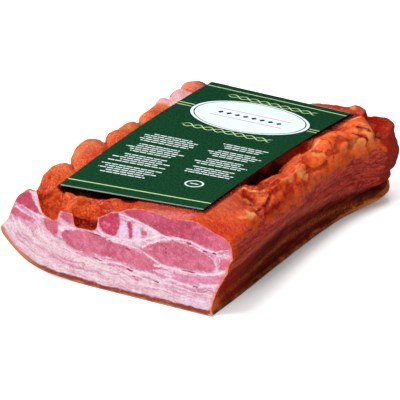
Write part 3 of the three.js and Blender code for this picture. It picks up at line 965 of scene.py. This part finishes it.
on_cut = np.concatenate([np.arange(columns), np.arange(skin_count, len(points))])
cut_places = points[on_cut][:, [0, 2]]
underside_columns = len(UNDERSIDE) * STRIPS[0][1] + 3 * STRIPS[1][1] + 1
rind_line = rim[:underside_columns]
smoked_line = np.vstack([rim[underside_columns - 1:], rim[:1]])
marks = cut_marks(cut_places)
marks["from_rind"] = distance_to(cut_places, rind_line)
on_right_edge = smooth(60, 72, cut_places[:, 0]) * smooth(50, 42, cut_places[:, 1])
marks["from_smoke"] = distance_to(cut_places, smoked_line) / mix(*SMOKE_REACH, on_right_edge)
for name, values in marks.items():
    spread = np.zeros(len(points), np.float32)
    spread[on_cut] = values
    carry(slab_mesh, name, spread)

is_cut = np.zeros(len(slab_mesh.polygons), bool)
is_cut[len(skin_faces):] = True
carry(slab_mesh, "is_cut", is_cut, "BOOLEAN", "FACE")
slab_mesh.polygons.foreach_set("use_smooth", np.ones(len(slab_mesh.polygons), bool))
ends = np.zeros(2 * len(slab_mesh.edges), int)
slab_mesh.edges.foreach_get("vertices", ends)
ends = ends.reshape(-1, 2)
on_rim = (ends < columns).all(axis=1)
carry(slab_mesh, "sharp_edge", on_rim, "BOOLEAN", "EDGE")
print("rim edges:", int(on_rim.sum()), "attributes:", len(slab_mesh.attributes))

# %% [markdown]
# Meat and fat share one grain: a fine sparkle of fibres and moisture that both lightens the
# colour and roughens the surface. It is a shader node group, so that the cut face and the smoked
# skin each use it with their own size and strength.

# %% The grain that all finishes share
FINE_SHARE = 0.6
COARSE_SIZE = 0.23
GRAIN, wanted = new_group(
    "moist grain", "Shader", {"Place": "Vector"}, {"Grain Size": 900.0, "Contrast": 1.0},
    {"Speckle": "Float", "Height": "Float"})
tree = GRAIN
given = add("NodeGroupInput")
fine = noise(given["Place"], given["Grain Size"], 4, 0.7)
coarse = noise(given["Place"], given["Grain Size"] * COARSE_SIZE, 3, 0.6)
both = fine * FINE_SHARE + coarse * (1 - FINE_SHARE)
fill(wanted["Speckle"], (both - 0.5) * given["Contrast"] + 0.5)
fill(wanted["Height"], both)


def grain(place, size, contrast):
    """The speckle and the height of the shared grain."""
    sockets = {"Place": place, "Grain Size": size, "Contrast": contrast}
    made = add("ShaderNodeGroup", sockets, node_tree=GRAIN)
    return made["Speckle"], made["Height"]


def speckled(colour, speckle, share):
    return blend(share, colour, blend(speckle, grey(0), grey(1)), "OVERLAY")


print("group:", GRAIN.name)

# %% [markdown]
# The cut face is moist and nearly matt. Fat is milky white with pink streaks that follow the
# rind, lean is pink to magenta, and thin white seams run between. Every edge gets a little noise,
# because a real muscle never ends in a clean curve.

# %% The cut face's material
# A fade names a value, the two levels it runs between and what it gives at them. A noise's size
# is in features per metre.
cut_material, tree, shader = new_material(
    "cut_meat_and_fat", Roughness=0.42, Specular_IOR_Level=0.25)
place = object_place()
place_x, _, _ = axes(place)
cloud = noise(place, 60, 3)
mottle = noise(place, 380, 4, 0.7)
wobble = noise(place, 300, 5, 0.7) - 0.5
speckle, grain_height = grain(place, 950, 3.0)
from_rind, tone = mark("from_rind"), mark("tone")
at_tip = fade(place_x, -0.045, -0.068)

across_rind = from_rind * MM + (cloud - 0.5) * 0.012
along_rind = add("ShaderNodeCombineXYZ", {"X": place_x, "Y": across_rind})
streaks = streaky(along_rind, (10, 340, 1), 3, 0.55)
threads = reckon("ABSOLUTE", streaky(along_rind, (19, 290, 1), 2, 0.5) - 0.5)
ragged = mark("lean") + wobble * 4.2
halo = fade(ragged, 3.0, 0.0, 0, 0.5)
pinkness = fade(streaks, 0.41, 0.6, 0, 0.76) + fade(mottle, 0.4, 0.62, 0, 0.09) + halo
pinkness = pinkness + mark("blush") * 0.55 - fade(from_rind, 6.0, 9.0, 0.12, 0)
fat = cover(
    blend(fade(place_x, 0.02, 0.07), (220, 190, 199), (222, 194, 214)),
    (pinkness, (207, 132, 163)),
    (fade(threads, 0.045, 0.0, 0, 0.6), (236, 214, 218)))

pale_lean = blend(fade(cloud, 0.4, 0.6), (210, 120, 145), (200, 101, 130))
deep_lean = blend(fade(cloud, 0.4, 0.6), (191, 54, 86), (178, 40, 74))
marbling = streaky(place, (90, 90, 260), 4, 0.7, (0, 0.18, 0))
lean = cover(
    blend(tone, pale_lean, deep_lean),
    (fade(tone, 0.0, -0.5), (214, 134, 162)),
    (fade(marbling, 0.58, 0.7, 0, 0.45), (232, 166, 186)),
    (fade(mottle, 0.52, 0.66, 0, 0.25), (232, 150, 174)),
    (fade(place_x, 0.05, 0.085, 0, 0.4), (228, 126, 156)),
    (at_tip * 0.42, (196, 64, 104)))

seam = mark("seam") + wobble * 2.2
gristle = mark("gristle") + wobble * 1.6
split = fade(mark("brown") + wobble, 0.3, -0.1)
meat = cover(
    blend(fade(ragged, 0.5, -0.9), fat, lean),
    (fade(seam, 0.4, -0.25, 0, 0.85), (240, 208, 218)),
    (fade(gristle, 0.6, -0.8), (222, 196, 224)))

rind_edge = from_rind + wobble * 1.6 + (cloud - 0.5) * 5.0 + at_tip * 1.5
rind_band = cover(
    blend(fade(rind_edge, 0.2, 1.6), (196, 116, 84), (142, 58, 42)),
    (at_tip * 0.7, (202, 138, 92)),
    (fade(mottle, 0.5, 0.66, 0, 0.5), (200, 118, 92)))
smoke_edge = mark("from_smoke") + wobble * 2.0
smoke_rim = blend(fade(mottle, 0.42, 0.6), (220, 96, 56), (234, 150, 116))
colour = cover(
    speckled(meat, speckle, 0.52),
    (split, (136, 30, 44)),
    (fade(rind_edge, 4.2, 3.0), rind_band),
    (fade(smoke_edge, 1.0, 0.2) * (0.85 - at_tip * 0.6), smoke_rim))
ridge = grain_height * 0.8 + fade(ragged, 0.6, -0.6, 0, 0.4) - split
surface(colour, ridge, 0.45, 0.0007)
print("cut face nodes:", len(tree.nodes))

# %% [markdown]
# The smoked skin is orange-red and glossy on top, where fat and lean are stained by the smoke,
# and purple-brown on the side, where the lean dried in long streaks and where shade is painted in
# as well. Grains and beads roughen the front, long strands run beside the card, and one area near
# the right shoulder is dull and salmon pink. Pale fat, cracks and creases come from the marks on
# the mesh, and so does painted shade beside the card, in hollows, cracks, creases and the rind's
# gap. Painted highlights lighten the left lobes, the strands' crests, the beads and the groove. The
# lump height that the relief leaves on it is used again: hollows go deep red as painted shade, and
# crests go lighter and more yellow as a painted highlight.

# %% The smoked skin's material
BEAD_WANDER = 0.0034
skin_material, tree, shader = new_material(
    "smoked_crust", Specular_Tint=(255, 176, 128), Coat_Roughness=0.12, Coat_Tint=(255, 226, 206))
place = object_place()
place_x, place_y, _ = axes(place)
speckle, grain_height = grain(place, 900, 3.0)
cloud = noise(place, 45, 3)
mottle = noise(place, 190, 4, 0.65)
blotch = noise(place, 420, 3, 0.6)
granules = noise(place, 760, 3, 0.6)
shaken = noise(place, 420, 3, 0.6, "Color")
uneven = reckon_vector("MULTIPLY_ADD", shaken, (BEAD_WANDER, BEAD_WANDER, BEAD_WANDER), place)
beads = add("ShaderNodeTexVoronoi", {"Vector": uneven, "Scale": 520.0}, "Distance")
specks = add("ShaderNodeTexVoronoi", {"Vector": place, "Scale": 480.0}, "Distance")
strand_lines = streaky(place, (520, 30, 520), 3, 0.6, (0, 0, 0.06))
side_streaks = streaky(place, (420, 26, 420), 5, 0.7, (0.06, 0, 0))
scratches = streaky(place, (1300, 300, 1300), 3, 0.65, (0.06, 0, 0))

lump, grainy, bright, salmon = mark("lump"), mark("grainy"), mark("bright"), mark("salmon")
strands, strand_crest = mark("strands"), mark("strand_crest")
painted_sheen_on_lobes = fade(place_x, -0.05, -0.066) * fade(place_y, -0.1, -0.06)
last_lobe = fade(place_x, -0.03, -0.045) * fade(place_y, 0.04, 0.07)
far_strip = fade(place_y, 0.084, 0.094) * fade(place_x, 0.062, 0.05)
top_red = cover(
    blend(fade(cloud, 0.42, 0.58), (198, 40, 6), (212, 76, 26)),
    (fade(mottle, 0.5, 0.66, 0, 0.55), (226, 106, 36)),
    (fade(blotch, 0.46, 0.3, 0, 0.6), (172, 16, 2)),
    (fade(granules, 0.52, 0.64, 0, 0.16), (240, 136, 72)),
    (fade(granules, 0.46, 0.34, 0, 0.2), (156, 14, 0)),
    # painted shade in the hollows between lumps, and a painted highlight, lighter and more yellow, on
    # their crests
    (fade(lump, 0.38, -0.05) * (0.55 - bright * 0.35), (164, 20, 4)),
    (fade(lump, 0.62, 1.15, 0, 0.7), (238, 134, 56)),
    (mark("front") * 0.3, (232, 84, 30)),
    # painted highlight on the small beads' middles and painted shade round their edges
    (fade(beads, 0.5, 0.1, 0, 0.45) * grainy, (240, 122, 64)),
    (fade(beads, 0.45, 0.8, 0, 0.42) * grainy, (160, 14, 0)),
    # painted sheen: the left lobes lighter and paler, as if lit from the left
    (painted_sheen_on_lobes * 0.36, (238, 168, 112)),
    (last_lobe * 0.4, (236, 140, 140)),
    (bright * 0.7, (250, 110, 50)),
    (far_strip * 0.75, (156, 44, 34)),
    (mark("pink_edge") * 0.5, (226, 132, 136)),
    (mark("wedge") * 0.55, (190, 34, 4)),
    # painted shade between the strands and a painted highlight along their crests
    ((strands - strand_crest) * 0.7, (176, 26, 8)),
    (fade(strand_lines, 0.52, 0.62, 0.3, 1) * strand_crest * 0.75, (240, 118, 74)),
    (salmon * 0.6, (176, 78, 58)))

# The side's colours hold its own dark smoked colour and painted shade as well, the most on the lower
# side below the groove.
low_side = cover(
    blend(fade(side_streaks, 0.4, 0.62), (76, 2, 0), (132, 12, 4)),
    (fade(place_y, -0.055, -0.095, 0, 0.5), (176, 30, 8)),
    (fade(granules, 0.56, 0.7, 0, 0.3), (150, 70, 26)))
side = cover(
    blend(fade(side_streaks, 0.38, 0.62), (148, 18, 8), (202, 62, 48)),
    (fade(mottle, 0.56, 0.7, 0, 0.3), (196, 84, 62)),
    (fade(scratches, 0.55, 0.66, 0, 0.65), (202, 116, 104)),
    (fade(scratches, 0.46, 0.36, 0, 0.6), (84, 8, 8)),
    (mark("low_side"), low_side),
    # painted highlight: a pale line along the groove
    (mark("groove_highlight") * 0.6, (176, 92, 58)),
    (fade(granules, 0.42, 0.6) * mark("granular") * 0.75, (176, 96, 38)))

edge_noise = (mottle - 0.5) * 1.6
smoked = fade(mark("smoked") + edge_noise, 0.3, 0.7)
boundary = smoked * (1.0 - smoked) * 2.4 * fade(place_y, -0.09, -0.05, 0.35, 1)
pale, painted_shade = mark("pale"), mark("painted_shade")
white_fat_and_highlight = blend(fade(place_x, -0.02, 0.02), (224, 164, 170), (240, 200, 156))
pale_fat_and_highlight = blend(fade(pale, 0.95, 1.5), (226, 136, 74), white_fat_and_highlight)
far_lip = fade(place_y, 0.03, 0.08) * fade(place_x, 0.0, 0.04)
rind = blend(fade(mottle, 0.4, 0.62), (120, 48, 24), (176, 92, 46))
colour = cover(
    top_red,
    (smoked, side),
    (boundary, (178, 96, 36)),
    (mark("golden") * 0.7, (218, 116, 44)),
    (fade(mark("far_lobe") + edge_noise * 0.5, 0.2, 0.8, 0, 0.85), (140, 10, 2)),
    # pale fat, and the painted highlight along the crest beside the hollow
    (fade(pale + edge_noise * 0.4, 0.25, 0.85), pale_fat_and_highlight),
    # painted shade in the cracks, creases and crags between the lumps
    (fade(mark("shaded_crack"), 0.25, 0.8), (110, 12, 6)),
    (fade(mark("shaded_crag"), 0.15, 0.8, 0, 0.7), (140, 14, 6)),
    # painted shade, deep red and then near black, beside the card and in the hollows by it
    (fade(painted_shade, 0.06, 0.34, 0, 0.7), (150, 14, 4)),
    (fade(painted_shade, 0.2, 0.9, 0, 0.94), (46, 3, 2)),
    # painted shade inside the rib pocket
    (fade(mark("pocket"), 0.2, 0.9, 0, 0.9), (140, 8, 3)),
    # painted shade in the gap between the rind and the meat
    (mark("gap"), (40, 8, 6)),
    (mark("rind"), cover(rind, (far_lip * 0.9, (214, 124, 64)))),
    (fade(specks, 0.16, 0.06, 0, 0.15), (120, 24, 14)))

fill(shader["Roughness"], fade(mottle, 0.35, 0.65, 0.2, 0.38) + smoked * 0.12)
fill(shader["Specular IOR Level"], 0.5 - salmon * 0.3)
fill(shader["Coat Weight"], 0.12 + grainy * 0.22)
height = blotch * 0.9 + grain_height * 0.35 + side_streaks * mark("side") * 1.2
height = height + granules * 0.3 - beads * grainy + strand_lines * strands
fill(shader["Coat Normal"], surface(speckled(colour, speckle, 0.34), height, 0.85, 0.0012))
print("skin nodes:", len(tree.nodes))

# %% [markdown]
# The crags of the skin follow a rule: every point moves out along its normal by a noise whose
# strength the marks give. That is a task for Geometry Nodes, because the sizes stay open as
# named inputs. The tree also stores the lump height and the crags, which the material uses for
# painted highlight and painted shade, and sets the materials.

# %% Fine relief with Geometry Nodes
RELIEF_STARTS = {
    "Lump Size": 8.0, "Lump Height": 2.2, "Wrinkle Size": 2.6, "Wrinkle Height": 0.9,
    "Crag Depth": 1.6, "Streak Height": 1.2, "Seed": 3.0}
RELIEF_OF_SLAB = {
    "Lump Size": 9.0, "Lump Height": 2.0, "Wrinkle Size": 3.0, "Wrinkle Height": 0.35,
    "Crag Depth": 0.8, "Streak Height": 0.5, "Seed": 3.0}
NOISE_GAIN = 3.2
LUMP_LEVEL = 0.45
LUMP_WHERE_SMOOTH = 0.55
GEOMETRY = {"Geometry": "Geometry"}
relief, wanted = new_group("smoked crust relief", "Geometry", GEOMETRY, RELIEF_STARTS, GEOMETRY)
tree = relief
given = add("NodeGroupInput")
here = add("GeometryNodeInputPosition")


def seeded_noise(size, seed_shift, stretch=(1, 1, 1), detail=2.0):
    """Noise about zero, from about -1 to 1, whose features are so many millimetres wide."""
    sockets = {"Vector": reckon_vector("MULTIPLY", here, stretch), "W": given["Seed"] + seed_shift,
               "Scale": 1 / MM / size, "Detail": detail}
    return (add("ShaderNodeTexNoise", sockets, "Fac", noise_dimensions="4D") - 0.5) * NOISE_GAIN


swells = seeded_noise(given["Lump Size"], 0.0)
wrinkles = seeded_noise(given["Wrinkle Size"], 5.0)
streaks = seeded_noise(given["Wrinkle Size"], 9.0, (1, 0.09, 1), 3.0)
wander = add("ShaderNodeCombineXYZ", {"X": wrinkles * 0.0015, "Y": swells * 0.004})
long_place = reckon_vector("MULTIPLY", reckon_vector("ADD", here, wander), (1, 0.6, 1))
cells = {"Vector": long_place, "W": given["Seed"], "Scale": 1 / MM / given["Lump Size"]}
from_middle = add("ShaderNodeTexVoronoi", cells, "Distance", voronoi_dimensions="4D", feature="F1")
lumps = fade(from_middle, 0.75, 0.1) + swells * 0.35
lumpy = mark("lumpy")
top_rise = ((lumps - LUMP_LEVEL) * given["Lump Height"] + wrinkles * given["Wrinkle Height"]) * lumpy
streak_rise = streaks * given["Streak Height"] * mark("side")
shaded_crag = fade(lumps, 0.2, -0.05) * mark("craggy")
drop = mark("shaded_crack") + shaded_crag * given["Crag Depth"]
rise = (top_rise + streak_rise - drop) * (mark("loose") * MM)
lump_mark = add("ShaderNodeMix", {0: lumpy, 2: LUMP_WHERE_SMOOTH, 3: lumps + wrinkles * 0.3})

shaped = given["Geometry"]
for name, value in (("lump", lump_mark), ("shaded_crag", shaded_crag)):
    sockets = {"Geometry": shaped, "Name": name, "Value": value}
    shaped = add("GeometryNodeStoreNamedAttribute", sockets, data_type="FLOAT", domain="POINT")
along_normal = {0: add("GeometryNodeInputNormal"), "Scale": rise}
offset = add("ShaderNodeVectorMath", along_normal, operation="SCALE")
shaped = add("GeometryNodeSetPosition", {"Geometry": shaped, "Offset": offset})
on_cut_face = add("GeometryNodeInputNamedAttribute", {"Name": "is_cut"}, data_type="BOOLEAN")
shaped = add("GeometryNodeRealizeInstances", {"Geometry": shaped})
for material, chosen in ((skin_material, True), (cut_material, on_cut_face)):
    sockets = {"Geometry": shaped, "Selection": chosen, "Material": material}
    shaped = add("GeometryNodeSetMaterial", sockets)
fill(wanted["Geometry"], shaped)


def apply_tree(piece, group, sizes):
    """Runs a Geometry Nodes tree with its named sizes and keeps the result as plain mesh."""
    modifier = piece.modifiers.new(group.name, "NODES")
    modifier.node_group = group
    for item in group.interface.items_tree:
        if item.in_out == "INPUT" and item.name in sizes:
            modifier[item.identifier] = sizes[item.name]
    made = bpy.data.meshes.new_from_object(piece.evaluated_get(bpy.context.evaluated_depsgraph_get()))
    piece.modifiers.clear()
    piece.data = made
    print(piece.name, "triangles:", sum(len(face.vertices) - 2 for face in made.polygons))
    return made


slab_mesh = apply_tree(slab, relief, RELIEF_OF_SLAB)

# %% [markdown]
# The print is fields of colour and plain shapes: a green ground, gold rules along both ends and
# across the head, a plain white oval in the head, and two blocks of short white bars. All of it
# is drawn from the card's own map in millimetres, with no picture and no lettering.

# %% The card's print
BAR_PITCH = 2.8
WORD_LENGTH = 5.2
DIAMOND_PITCH = 6.0
WAVE_HEIGHT = 2.4
WAVE_TURNS = 0.42
WAVE_MIDDLES = (77.0, 19.5)
GOLD_RULES = [(-83.0, 0.55), (85.6, 0.5), (50.9, 0.5), (47.3, 0.5)]
PANEL_MIDDLE = (2, 48.6)
STAMP_MIDDLE = (26, -61)
card_material, tree, shader = new_material("printed_card", Roughness=0.55, Specular_IOR_Level=0.08)
map_u, map_v, _ = axes(add("ShaderNodeUVMap", uv_map="print_map"))
u = (map_u - 0.5) * CARD_WIDTH
v = (map_v - 0.5) * CARD_LENGTH


def within(value, middle, half_width, blur=0.12):
    """1 inside a band round the middle, 0 outside it."""
    return fade(reckon("ABSOLUTE", value - middle), half_width + blur, half_width - blur)


def strongest(*masks):
    most = masks[0]
    for other in masks[1:]:
        most = reckon("MAXIMUM", most, other)
    return most


def oval(middle_u, middle_v, half_u, half_v):
    """Distance from an oval's middle, 1 on its edge."""
    across, upward = (u - middle_u) / half_u, (v - middle_v) / half_v
    return reckon("SQRT", across * across + upward * upward)


def bar_block(left, right, low, rows, blank_every, seed):
    """Rows of short bars with ragged ends and gaps, and a blank row now and then."""
    high = low + rows * BAR_PITCH
    place = (v - low) / BAR_PITCH
    row, in_row = reckon("FLOOR", place), reckon("FRACT", place)
    draw = add("ShaderNodeTexWhiteNoise", {"W": row + seed}, "Value", noise_dimensions="1D")
    half = fade(draw, 0, 1, 0.62, 1.0) * ((right - left) / 2)
    reach = half - reckon("ABSOLUTE", u - (left + right) / 2)
    in_word = reckon("FRACT", (u + draw * 31.0 + 200.0) / WORD_LENGTH)
    printed = reckon("LESS_THAN", reckon("MODULO", row, blank_every), blank_every - 1.5)
    bars = within(in_row, 0.5, 0.19, 0.08) * fade(reach, -0.1, 0.1) * fade(in_word, 0.1, 0.16)
    return bars * printed * within(v, (low + high) / 2, (high - low) / 2)


gold = strongest(*[within(v, *rule) for rule in GOLD_RULES])
angle = u * WAVE_TURNS
wave = reckon("SINE", angle) * WAVE_HEIGHT
slope = reckon("COSINE", angle) * (WAVE_HEIGHT * WAVE_TURNS)
steepness = reckon("SQRT", slope * slope + 1.0)
for middle in WAVE_MIDDLES:
    for bent in (v - middle - wave, v - middle + wave):
        gold = strongest(gold, within(bent / steepness, 0.0, 0.4) * within(u, 2.0, 31.0, 2.0))
white_bars = strongest(
    bar_block(-44, -1, -67, 23, 6, 11.0),
    bar_block(7, 45, -47, 18, 5, 31.0),
    within(oval(*STAMP_MIDDLE, 6.4, 4.9), 0.9, 0.1, 0.03),
    within(v, STAMP_MIDDLE[1], 0.5) * within(u, STAMP_MIDDLE[0], 3))

panel = oval(*PANEL_MIDDLE, 42, 26)
paper_noise = noise(add("ShaderNodeCombineXYZ", {"X": u, "Y": v}), 0.8, 3, 0.7)
pink_rules = strongest(within(v, 42.5, 0.5), within(v, 54.5, 0.5)) * within(u, 2, 26)
cell = reckon("FRACT", (u - PANEL_MIDDLE[0]) / DIAMOND_PITCH) - 0.5
diamond = reckon("ABSOLUTE", cell * DIAMOND_PITCH) + reckon("ABSOLUTE", v - PANEL_MIDDLE[1])
from_long_edge = CARD_WIDTH / 2 - reckon("ABSOLUTE", u)
from_short_edge = CARD_LENGTH / 2 - reckon("ABSOLUTE", v)
colour = cover(
    blend(fade(paper_noise, 0.38, 0.62), (0, 38, 18), (8, 74, 42)),
    (gold, (172, 200, 140)),
    (white_bars, (206, 222, 218)),
    (fade(panel, 1.0, 0.99), (28, 40, 36)),
    (fade(panel, 0.975, 0.965), (212, 226, 228)),
    (within(panel, 0.91, 0.01, 0.004), (40, 52, 50)),
    (pink_rules, (214, 140, 150)),
    (fade(diamond, 2.2, 2.0) * within(u, 2, 24), (34, 40, 40)),
    # painted highlight: a pale band along the card's two short edges
    (fade(from_short_edge, 0.45, 0.2), (150, 178, 166)),
    (fade(from_long_edge, 0.45, 0.2), (20, 34, 26)))
surface(colour, paper_noise, 0.12, 0.0002)
print("card nodes:", len(tree.nodes))

# %% [markdown]
# The card is a thin printed sheet that lies on the meat and arches a little. Its surface is one
# formula, so Geometry Nodes make it: a grid is bent by the formula and extruded to its thickness.
# The grid's own UV map carries the print, which then bends with the card.

# %% The card with Geometry Nodes
CARD_CELLS = (68, 122)
CARD_SIZES = {
    "Width": CARD_WIDTH, "Length": CARD_LENGTH, "Thickness": CARD_THICKNESS, "Height": CARD_HEIGHT,
    "Tip Up": CARD_TIP_UP, "Arch": CARD_ARCH, "Twist": CARD_TWIST}
card_tree, wanted = new_group(
    "arched card", "Geometry", GEOMETRY, dict.fromkeys(CARD_SIZES, 0.0), GEOMETRY)
tree = card_tree
given = add("NodeGroupInput")
sheet = add("GeometryNodeMeshGrid", {
    "Size X": given["Width"], "Size Y": given["Length"],
    "Vertices X": CARD_CELLS[0] + 1, "Vertices Y": CARD_CELLS[1] + 1})
sockets = {"Geometry": sheet["Mesh"], "Name": "print_map", "Value": sheet["UV Map"]}
mapped = add("GeometryNodeStoreNamedAttribute", sockets, data_type="FLOAT2", domain="CORNER")
sheet_x, sheet_y, _ = axes(add("GeometryNodeInputPosition"))
across = sheet_x * 2.0 / given["Width"]
along = sheet_y * 2.0 / given["Length"]
lift = across * given["Tip Up"] - along * along * given["Arch"] - across * along * given["Twist"]
lift_vector = add("ShaderNodeCombineXYZ", {"Z": lift + given["Height"]})
bent = add("GeometryNodeSetPosition", {"Geometry": mapped, "Offset": lift_vector})
walls = add("GeometryNodeExtrudeMesh", {
    "Mesh": bent, "Offset": (0, 0, 1), "Offset Scale": given["Thickness"], "Individual": False})
both = add("GeometryNodeJoinGeometry", {0: walls["Mesh"]})
fill(both.socket.node.inputs[0], add("GeometryNodeFlipFaces", {"Mesh": bent}))
welded = add("GeometryNodeMergeByDistance", {"Geometry": both, "Distance": 0.01 * MM})
sockets = {
    "Geometry": add("GeometryNodeRealizeInstances", {"Geometry": welded}), "Material": card_material}
fill(wanted["Geometry"], add("GeometryNodeSetMaterial", sockets))

card = bpy.data.objects.new("printed_card", bpy.data.meshes.new("printed_card"))
bpy.context.scene.collection.objects.link(card)
card_mesh = apply_tree(card, card_tree, {name: size * MM for name, size in CARD_SIZES.items()})
flat = np.zeros(3 * len(card_mesh.vertices))
card_mesh.vertices.foreach_get("co", flat)
flat = flat.reshape(-1, 3)
turn_cos, turn_sin = math.cos(CARD_TURN), math.sin(CARD_TURN)
turned_x = flat[:, 0] * turn_cos - flat[:, 1] * turn_sin + CARD_MIDDLE[0] * MM
turned_y = flat[:, 0] * turn_sin + flat[:, 1] * turn_cos + (CARD_MIDDLE[1] - LENGTH / 2) * MM
flat[:, 0], flat[:, 1] = turned_x, turned_y
card_mesh.vertices.foreach_set("co", flat.ravel())
card_mesh.update()
print("card, mm:", [round(float(size) / MM, 1) for size in np.ptp(flat, axis=0)])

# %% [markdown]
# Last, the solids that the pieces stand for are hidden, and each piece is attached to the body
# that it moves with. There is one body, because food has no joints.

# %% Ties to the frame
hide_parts("pancetta")
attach(slab, "root")
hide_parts("label_card")
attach(card, "root")
